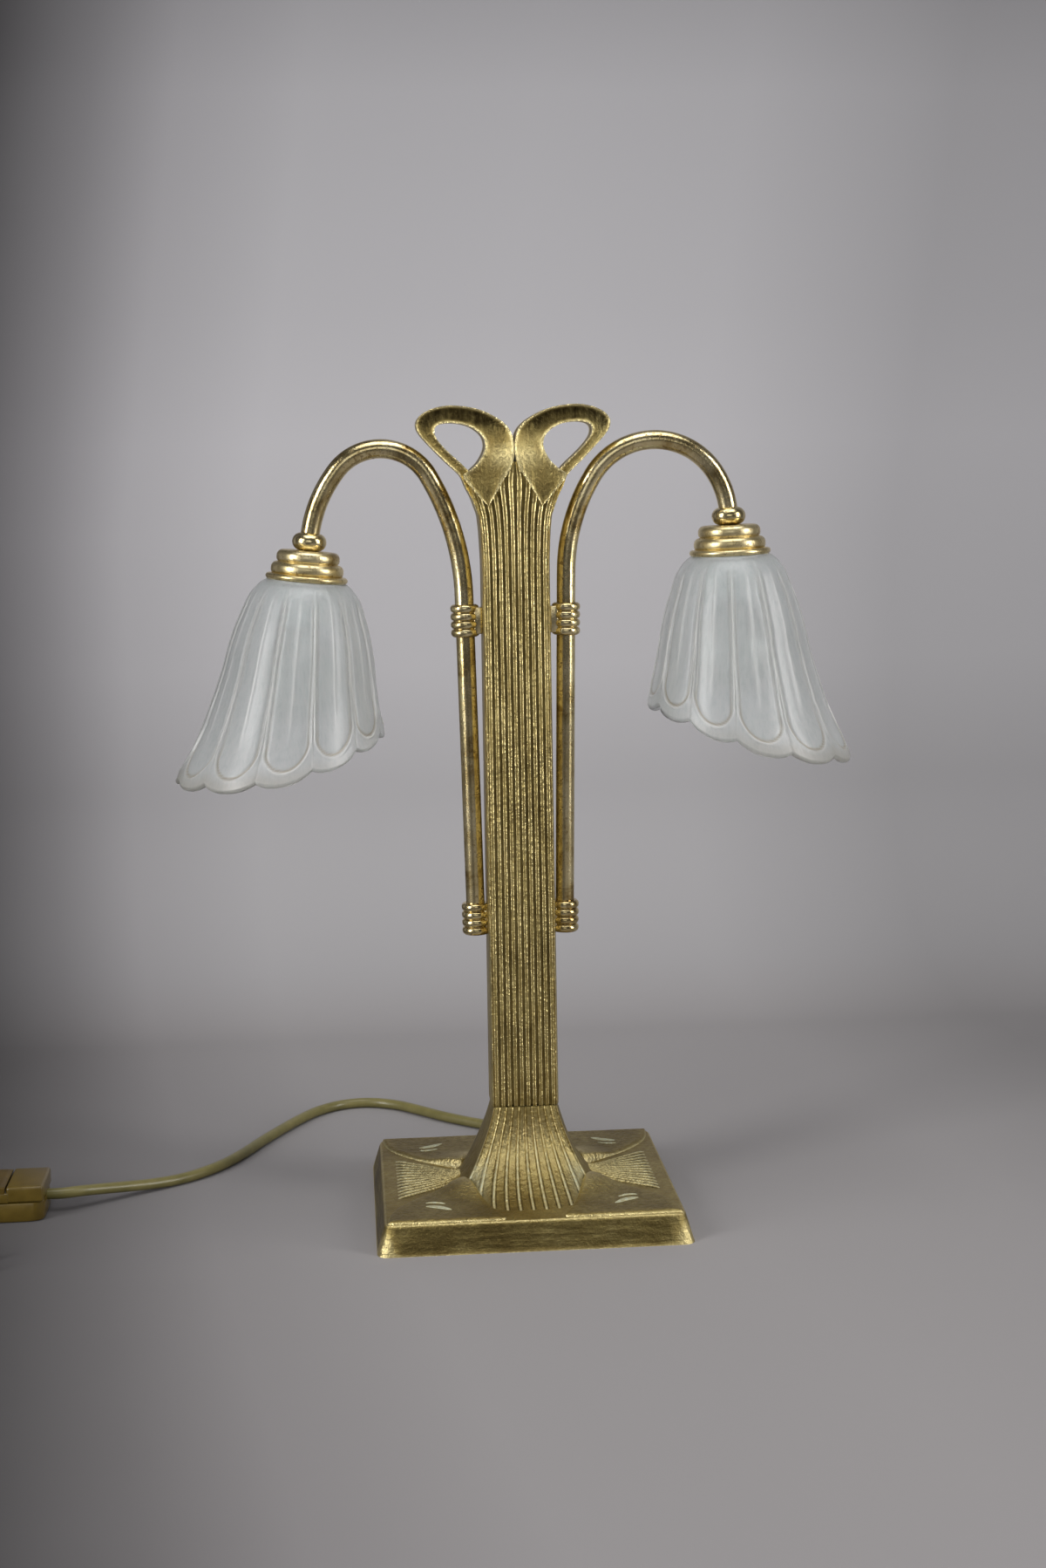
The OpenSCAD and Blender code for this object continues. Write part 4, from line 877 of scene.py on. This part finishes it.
# the bow's band: outer edge x and z, inner edge x and z above the column's top, half depth
BOW = [
    (13.9, -22.3, 14.1, -22.3, 14.2), (9.3, -14.5, 20.4, -15.5, 14.2),
    (4.4, -6.5, 26.9, -6.9, 14.2), (1.9, -2.2, 23.2, -3.6, 14.1), (0.5, 2.0, 19.2, 0.0, 13.7),
    (0.1, 7.0, 16.4, 4.4, 13.0), (0.4, 11.5, 15.1, 8.5, 12.0), (1.5, 15.4, 15.5, 11.8, 11.0),
    (3.6, 18.9, 16.9, 14.4, 10.2), (7.6, 22.4, 19.4, 16.8, 9.4), (14.0, 26.0, 22.8, 18.8, 8.8),
    (20.0, 28.1, 26.0, 19.9, 8.3), (26.5, 29.3, 29.8, 20.6, 8.0), (33.2, 29.7, 33.6, 20.8, 8.0),
    (39.0, 29.0, 37.0, 20.5, 8.0), (44.0, 27.4, 39.5, 19.6, 8.0), (48.2, 24.9, 40.8, 18.2, 8.0),
    (50.5, 21.4, 41.1, 16.4, 7.9), (50.3, 17.8, 40.7, 14.4, 7.8), (48.2, 14.2, 39.4, 12.0, 7.7),
    (44.8, 10.3, 37.0, 9.0, 7.6), (41.0, 6.3, 34.2, 6.1, 7.6), (37.4, 2.6, 31.0, 3.1, 7.6),
    (33.8, -0.9, 28.0, 0.4, 7.6), (30.4, -4.0, 25.2, -2.4, 7.7), (27.6, -7.2, 21.5, -6.5, 8.0),
    (25.6, -12.0, 16.0, -12.0, 9.0), (22.4, -18.4, 12.0, -19.0, 10.5),
    (19.6, -26.0, 10.0, -27.0, 11.5)]


def bow(bm, side):
    """One looped band, dished between thin raised rims, from the leaf's tip round to the shaft."""
    stations = through(BOW, 5)
    last = len(stations) - 1
    face = 18  # steps across a face; the edge between faces takes 3
    ring = 2 * (face + 3)

    def place(u, v):
        ox, oz, ix, iz, half = stations[round(v * last)]
        outer, inner = Vector((ox, oz)), Vector((ix, iz))
        width = max((inner - outer).length, 0.05)
        k = round(u * ring) % ring
        back = k >= face + 3
        k = k % (face + 3)
        rim = min(1.15 / width, 0.3)
        wear_and_painted_light = 0.0
        if k <= face:
            t = k / face
            if t < 0.06:
                t, wear_and_painted_light = mixed(0, rim * 0.5, t / 0.06), 1.0
            elif t > 0.94:
                t, wear_and_painted_light = 1 - mixed(rim * 0.5, 0, (t - 0.94) / 0.06), 0.9
            else:
                t = mixed(rim * 0.8, 1 - rim * 0.8, (t - 0.06) / 0.88)
            inside = max(0.0, min(t, 1 - t) - rim * 0.55) / 0.5
            high, p_out = mixed(oz, iz, t), mixed(ox, ix, t)
            most = 2.2 if half < 11.9 else mixed(0.85, 2.2, eased((high - 0.5) / 9))
            depth = half - min(most, width * 0.16) * (1 - (1 - min(1, inside * 1.1)) ** 2)
            # The face darkens towards the top and the lower end. It takes a painted highlight near
            # the middle, where the two bows meet, and its rims are brightened.
            darkening = 0.55 * eased((high - 10) / 12) + 0.3 * eased((-high - 8) / 10)
            painted_highlight = 0.5 * eased(1 - abs(high - 3) / 9) * eased(1.2 - p_out / 16)
            wear_and_painted_light = max(wear_and_painted_light, 0.3 * (1 - inside * 3))
            wear_and_painted_light += (painted_highlight - 1.5 * darkening) * min(1, inside * 4)
        else:
            t = 1.0
            depth = half * (1 - 2 * (k - face) / 3) if k > face else half
        if back:
            t = 1 - t
            depth = -depth
        p = outer.lerp(inner, t)
        return (p.x * side, -depth, COLUMN_TOP + p.y), wear_and_painted_light

    closed_ends(bm, pulled_sheet(bm, ring, last, place, 1e-5))


def make_column():
    bm = bmesh.new()
    heights = [SEAM + 0.15, SEAM + 0.7] + [SEAM + 6 + k * 9.0 for k in range(33)]
    heights += [356, 362, 367, 371, 374, 377, 380, 382.5, 385, 387.5, 390, 392, 394, 396, 398,
                400, 402.4]
    last = len(heights) - 1

    def shaft(u, v):
        k = round(v * last)
        where, worn_and_painted_light = shaft_point(u, heights[k])
        if k == 0:
            where.x *= SEAM_DRAW
            where.y *= SEAM_DRAW
        return where, worn_and_painted_light

    closed_ends(bm, pulled_sheet(bm, 800, last, shaft))
    bow(bm, 1)
    bow(bm, -1)
    finished("cast_column", bm, BRASS, "column", sharp=38)


make_foot()
make_column()


# -------- arms

TUBE_X, LEAN = 24.0, 1.0
LOW_COLLAR, HIGH_COLLAR = 160.0, 320.0
TUBE_FOOT = 154.0
# each arm's tube rises straight to rise and then bends by (radius, degrees) in turn
ARMS = {
    "left": dict(side=-1, rise=333.0, hang=6.0, turn=3.0,
                 bends=[(130.0, 29.0), (29.0, 111.0), (70.0, 33.0)]),
    "right": dict(side=1, rise=345.0, hang=2.0, turn=-5.0,
                  bends=[(97.0, 31.0), (38.5, 114.5), (45.0, 31.5)]),
}
# levels ending in _S are measured from the ball's centre down the fitter's axis
FITTER_S, RIM_S = 4.7, 20.5
SHADE_LEN, SLANT, NOTCH, PETALS, WALL = 96.0, 14.8, 3.6, 12, 3.2
MID_S = RIM_S + SHADE_LEN


def tube_axis(z):
    return TUBE_X + (z - LOW_COLLAR) * tan(radians(LEAN))


def arm_path(arm):
    """The tube's centre line in the right-hand XZ plane, and the angle of its end."""
    x, z, a = tube_axis(TUBE_FOOT), TUBE_FOOT, radians(LEAN)
    line = [(x, z)]
    run = round((arm["rise"] - TUBE_FOOT) / cos(a), 2)
    for k in range(1, 13):
        line.append((x + run * k / 12 * sin(a), z + run * k / 12 * cos(a)))
    x, z = line[-1]
    for radius, degrees in arm["bends"]:
        cx, cz = x + radius * cos(a), z - radius * sin(a)
        steps = max(6, int(degrees / 2))
        for k in range(1, steps + 1):
            b = a + radians(degrees) * k / steps
            line.append((cx - radius * cos(b), cz + radius * sin(b)))
        a += radians(degrees)
        x, z = line[-1]
    return line, a


def on_side(arm, place):
    """The place as it is on the right, or mirrored to the left."""
    return Matrix.Scale(-1, 4, (1, 0, 0)) @ place if arm["side"] < 0 else place


def at_ball(arm):
    line, a = arm_path(arm)
    x, z = line[-1]
    return on_side(arm, Matrix.Translation((x, 0, z)) @ Matrix.Rotation(a, 4, "Y"))


def at_collar(arm, z):
    lean = Matrix.Rotation(radians(LEAN), 4, "Y")
    return on_side(arm, Matrix.Translation((tube_axis(z), 0, z)) @ lean)


def arm_tube(name, arm):
    bm = bmesh.new()
    line, _ = arm_path(arm)
    side = arm["side"]
    swept_tube(bm, [(x * side, 0, z) for x, z in line], 5.0, 40)
    finished(name + "_arm", bm, POLISHED, name + "_arm_tube", sharp=60)


def collar(name, arm, which, z):
    """Four rounded ribs round the tube, and the lug that stands on the column."""
    bm = bmesh.new()
    side = arm["side"]
    line = [(5.1, -8.5), (6.4, -8.5)]
    for k in range(4):
        mid = -6.375 + 4.25 * k
        for j in range(9):
            a = pi * (j / 8 - 0.5)
            r = 6.0 + 1.6 * cos(a) ** 0.8 if abs(a) < 1.5 else 6.1
            line.append((r, mid + 2.0 * sin(a)))
    line += [(6.4, 8.5), (5.1, 8.5)]
    turned(bm, line, at_collar(arm, z), 64, loop=True)
    inner, outer = 17.8, tube_axis(z) - 4.5
    low, high = sorted((side * inner, side * outer))
    block(bm, (low, -5, z - 7), (high, 5, z + 7), 0.7, 3)
    finished(name + "_" + which, bm, POLISHED, name + "_" + which)


def ball(name, arm):
    bm = bmesh.new()
    line = [(5.02, -4.5)]
    for k in range(17):
        a = pi * (k / 16 - 0.5)
        line.append((4.3 + 4.7 * cos(a) if k not in (0, 16) else 5.02, 4.7 * sin(a)))
    line.append((5.02, 4.5))
    turned(bm, line, at_ball(arm), 72, loop=True)
    finished(name + "_knuckle", bm, POLISHED, name + "_ball", sharp=50)


def fitter(name, arm):
    """The stepped cup that holds the glass: two rounded steps over a rolled rim."""
    bm = bmesh.new()
    s0, s3 = FITTER_S, RIM_S
    line = [(5.1, s0 + 1.0), (5.1, s0)]
    for radius, top in ((16.5, s0), (19.0, s0 + 6.3)):
        for k in range(8):
            a = radians(90 - 90 * k / 7)
            line.append((radius - 3.3 + 3.3 * cos(a), top + 3.3 - 3.3 * sin(a)))
        line += [(radius, top + 4.6), (radius - 0.25, top + 5.5), (radius - 0.9, top + 6.1)]
    for k in range(9):
        a = radians(80 - 20 * k)
        line.append((19.9 + 1.6 * cos(a), s3 - 1.6 - 1.6 * sin(a)))
    line += [(20.4, s3 - 0.9), (20.3, s3 - 1.9), (17.9, s3 - 2.3), (17.9, s0 + 8.6),
             (15.4, s0 + 6.4), (15.3, s0 + 3), (13.0, s0 + 1.0)]
    turned(bm, line, at_ball(arm), 96, loop=True)
    finished(name + "_cup", bm, SPUN, name + "_fitter", sharp=50)


# the tulip's outline: share of its length below the shoulder, share of its flare
FLARE = [(0, 0), (0.035, 0.045), (0.075, 0.085), (0.18, 0.2), (0.29, 0.289), (0.4, 0.355),
         (0.506, 0.437), (0.614, 0.53), (0.722, 0.635), (0.83, 0.775), (0.92, 0.91), (1, 1)]
FLARE_LINE = through(FLARE, 6)
SHOULDER_R, MOUTH_R, SHOULDER_S = 28.3, 60.5, RIM_S + 8


def tulip_radius(s):
    share = (s - SHOULDER_S) / (MID_S + SLANT - SHOULDER_S)
    return SHOULDER_R + (MOUTH_R - SHOULDER_R) * looked_up(FLARE_LINE, share)


def rim_level(a, u):
    """How far down the rim reaches: slanting, low in front and behind, scalloped between petals."""
    c = cos(a)
    return MID_S + 3.4 + 16.7 * c - 5.8 * c * c - NOTCH * abs(2 * u - 1) ** 2.4


def petal_relief(u, r, above):
    """At share u across a petal of radius r, so far above its rim: how far the glass stands out,
    how dirty it is and how much painted highlight whitens it."""
    half = pi * r / PETALS
    x = abs(u - 0.5) * 2 * half
    panel = half - mixed(0.8, 1.9, eased(1 - above / 60))
    turn = 5.2 + 0.85 * panel
    if above > turn:
        inside = panel - x
    else:
        inside = panel * (1 - hypot(x / panel, (turn - above) / (0.85 * panel)))
    lip = 0.35 * eased(-inside / 0.7) + 0.45 * eased(1 - abs(inside + 0.9) / 0.9)
    groove = eased(1 - abs(inside - 0.6) / 1.3)
    rib = eased(1 - x / 1.3) * eased((above - 14) / 20)
    valley = eased(1 - (half - x) / 0.7)
    height = lip - 0.45 * groove + 0.55 * rib - 0.35 * valley + 0.3 * eased(inside / 7)
    dirt = groove * (0.2 + 0.8 * eased(1.1 - above / 24)) + 0.15 * valley
    return height, min(1.0, dirt), max(eased(1 - abs(inside + 0.9) / 0.9), 0.8 * rib)


def glass_shade(name, arm):
    """A tulip of twelve petals: a turned wall, cut slanting and scalloped, with pressed borders."""
    bm = bmesh.new()
    columns, wall_steps = 32, 64
    spin = radians(arm["turn"] * (1 if arm["side"] > 0 else -1))
    neck = through([(14.7, RIM_S - 2.2), (18.2, RIM_S - 2.0), (19.9, RIM_S - 0.2),
                    (21.8, RIM_S + 0.6), (25.0, RIM_S + 3.4), (SHOULDER_R, SHOULDER_S)], 3)
    rows = len(neck) + wall_steps
    total = 2 * rows + 3  # down outside, two points on the lip, and up inside

    def outline(rim, k):
        if k < len(neck):
            return Vector(neck[k])
        share = 1 - (1 - (k - len(neck) + 1) / wall_steps) ** 1.5
        s = mixed(SHOULDER_S, rim, share)
        return Vector((tulip_radius(s), s))

    def place(u_all, v):
        t = u_all * PETALS
        t, petal = t - floor(t), floor(t)
        u = t - 0.5 * sin(TAU * t) / TAU
        a = TAU * (petal + u - 0.5) / PETALS
        rim = rim_level(a, u)
        k = round(v * total) % total
        inner = k > rows + 1
        row = k if k < rows else (rows - 1 if k <= rows + 1 else total - 1 - k)
        row = max(0, min(rows - 1, row))
        here = outline(rim, row)
        along = outline(rim, min(row + 1, rows - 1)) - outline(rim, max(row - 1, 0))
        along.normalize()
        out = Vector((along.y, -along.x))
        above = max(0.0, rim - here.y)
        fade = eased((here.y - RIM_S - 1) / 16)
        high, amber, white = petal_relief(u, max(here.x, 20), above)
        outer_p = here + out * high * fade
        inner_p = here - (out * WALL if row > 2 else Vector((0, -WALL)))
        if k in (rows, rows + 1):
            mid = outer_p.lerp(inner_p, 0.28 if k == rows else 0.72)
            here = mid + along * WALL * 0.42
        else:
            here = inner_p if inner else outer_p
        tip = 0.4 * eased((here.x - 44) / 14) * eased(1 - above / 9)
        # Outside only: dirt (amber) and the painted highlight on lip and ribs (white).
        amber, white = (0.0, 0.0) if inner else (max(amber * fade, tip), white * fade)
        return (-here.x * cos(a), here.x * sin(a), here.y), white, amber

    pulled_sheet(bm, PETALS * columns, total, place, 1e-3)
    where = at_ball(arm) @ Matrix.Rotation(spin, 4, "Z")
    ops.transform(bm, matrix=where, verts=bm.verts)
    finished(name + "_tulip", bm, GLASS, name + "_shade", sharp=70)


def bulb(name, arm):
    """A clear globe lamp on its screw cap."""
    bm = bmesh.new()
    cap_s, length, globe_r = 23.1, 72, 22.4
    centre = cap_s + length - 22.5
    outer = [(7.9, cap_s + 21), (9.6, cap_s + 24), (12.5, cap_s + 28), (16.3, cap_s + 33)]
    for k in range(6, 25):
        a = radians(-90 + 180 * k / 24)
        outer.append((max(globe_r * cos(a), 0.0), centre + globe_r * sin(a)))
    inner = [(max(r - 0.8, 0.0), s - 0.8 * max(0.0, (s - centre) / globe_r)) for r, s in outer]
    turned(bm, outer + inner[::-1] + [outer[0]], at_ball(arm), 64)
    finished(name + "_bulb", bm, CLEAR, name + "_bulb_glass")
    bm = bmesh.new()
    line = [(0, cap_s), (2.6, cap_s), (3.4, cap_s + 1), (6.2, cap_s + 2.6)]
    for k in range(5):
        s = cap_s + 3.2 + 3.0 * k
        line += [(6.2, s), (6.9, s + 0.9), (6.9, s + 1.6), (6.2, s + 2.6)]
    line += [(6.6, cap_s + 19), (6.9, cap_s + 21), (0, cap_s + 21)]
    turned(bm, line, at_ball(arm), 48)
    finished(name + "_screw_cap", bm, NICKEL, name + "_bulb_cap")


def lampholder(name, arm):
    """The white skirt and the shade ring with its grip notches, seen from below."""
    bm = bmesh.new()
    split, end = 23.9, 44.8
    line = []
    for k in range(8):
        s = split + 12.5 + k
        line += [(12.5, s), (13.0, s + 0.25), (13.0, s + 0.65), (12.5, s + 0.9)]
    profile = [(11, split), (14, split), (14, split + 11.5), (13.2, split + 12)] + line
    profile += [(12.4, end - 0.3), (12.1, end), (11, end)]
    turned(bm, profile, at_ball(arm), 64, loop=True)
    finished(name + "_skirt", bm, WHITE, name + "_holder_skirt")
    bm = bmesh.new()
    s0 = RIM_S - 2.2 + WALL + 0.3
    rings = [(14.05, s0), (18.5, s0), (18.5, s0 + 2), (16.5, s0 + 2.1), (16.5, s0 + 5.5),
             (14.05, s0 + 5.5)]
    count = len(rings)

    def place(u, v):
        r, s = rings[round(v * count) % count]
        a = TAU * u
        if r > 15 and s > s0 + 1:
            r -= 0.8 * max(0.0, cos(a * 24)) ** 2
        return (r * cos(a), r * sin(a), s), 0.0

    pulled_sheet(bm, 144, count, place)
    ops.transform(bm, matrix=at_ball(arm), verts=bm.verts)
    finished(name + "_ring", bm, WHITE, name + "_shade_ring")


for arm_name, arm in ARMS.items():
    arm_tube(arm_name, arm)
    collar(arm_name, arm, "lower_collar", LOW_COLLAR)
    collar(arm_name, arm, "upper_collar", HIGH_COLLAR)
    for make in (ball, fitter, glass_shade, bulb, lampholder):
        make(arm_name, arm)


# -------- carried-over parts

CARRIED = {
    "sole_plate": STEEL, "sole_screws": STEEL, "felt_pad": FELT, "tie_rod": STEEL,
    "tie_washer": STEEL, "tie_nut": STEEL, "terminal_block": WHITE, "inner_cord": CORD,
    "rocker_pin": STEEL, "switch_screws": STEEL}
for arm_name in ARMS:
    CARRIED.update({
        arm_name + "_nipple": POLISHED, arm_name + "_locknut": STEEL,
        arm_name + "_holder_cap": WHITE, arm_name + "_screw_shell": POLISHED,
        arm_name + "_wire": WHITE})
for node, finish in CARRIED.items():
    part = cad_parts[node]
    for slot in part.material_slots:
        slot.material = finish
    if not part.material_slots:
        part.data.materials.append(finish)


# -------- studio

def studio():
    """A sheet of paper, in metres, that sweeps up into a wall, four softboxes and grey air."""
    half_wide, near, bend_y, bend_r, wall_y = 4, -3.2, 0.36, 0.16, 0.52
    flat, curved, steps = 20, 24, 60  # steps along the floor, round the bend, and in all

    def sweep(u, v):
        x = mixed(-half_wide, half_wide, u)
        k = round(v * steps)
        if k <= flat:
            return (x, mixed(near, bend_y, k / flat), 0), 0.0
        up = k - flat - curved
        if up <= 0:
            a = (k - flat) / curved * pi / 2
            return (x, bend_y + bend_r * sin(a), bend_r - bend_r * cos(a)), 0.0
        return (x, wall_y + up * 0.004, bend_r + up * 0.14), 0.0

    bm = bmesh.new()
    pulled_sheet(bm, 8, steps, sweep)
    smooth_object("studio_floor", bm, floor_paper())

    def softbox(name, where, target, size, power, colour=(1, 1, 1)):
        light = bpy.data.lights.new(name, "AREA")
        light.shape = "RECTANGLE"
        light.size, light.size_y = size
        light.energy = power
        light.color = colour
        lamp = placed(name, light)
        way = (Vector(target) - Vector(where)).normalized()
        turn = way.to_track_quat("-Z", "Y").to_matrix().to_4x4()
        lamp.matrix_world = Matrix.Translation(where) @ turn

    softbox("window_left", (-1.5, -0.95, 0.75), (0, 0, 0.22), (0.5, 1.3), 20, (1.0, 0.99, 0.97))
    softbox("window_right", (1.5, -0.85, 0.75), (0, 0, 0.22), (0.4, 1.3), 15, (1.0, 0.98, 0.95))
    softbox("overhead", (0.1, -0.35, 1.7), (0, 0.1, 0.1), (1.3, 0.9), 11)
    softbox("front_card", (-0.1, -2.0, 0.85), (0, 0, 0.3), (1.1, 0.7), 2.6)
    world = bpy.data.worlds.new("studio_air")
    world.use_nodes = True
    tree = world.node_tree
    glossy = add(tree, "LightPath").outputs["Is Glossy Ray"]
    air = blended(glossy, (0.32, 0.315, 0.33, 1), (0.055, 0.053, 0.052, 1))
    tree.links.new(air, tree.nodes["Background"].inputs["Color"])
    SCENE.world = world


studio()
SCENE.view_settings.view_transform = "Standard"
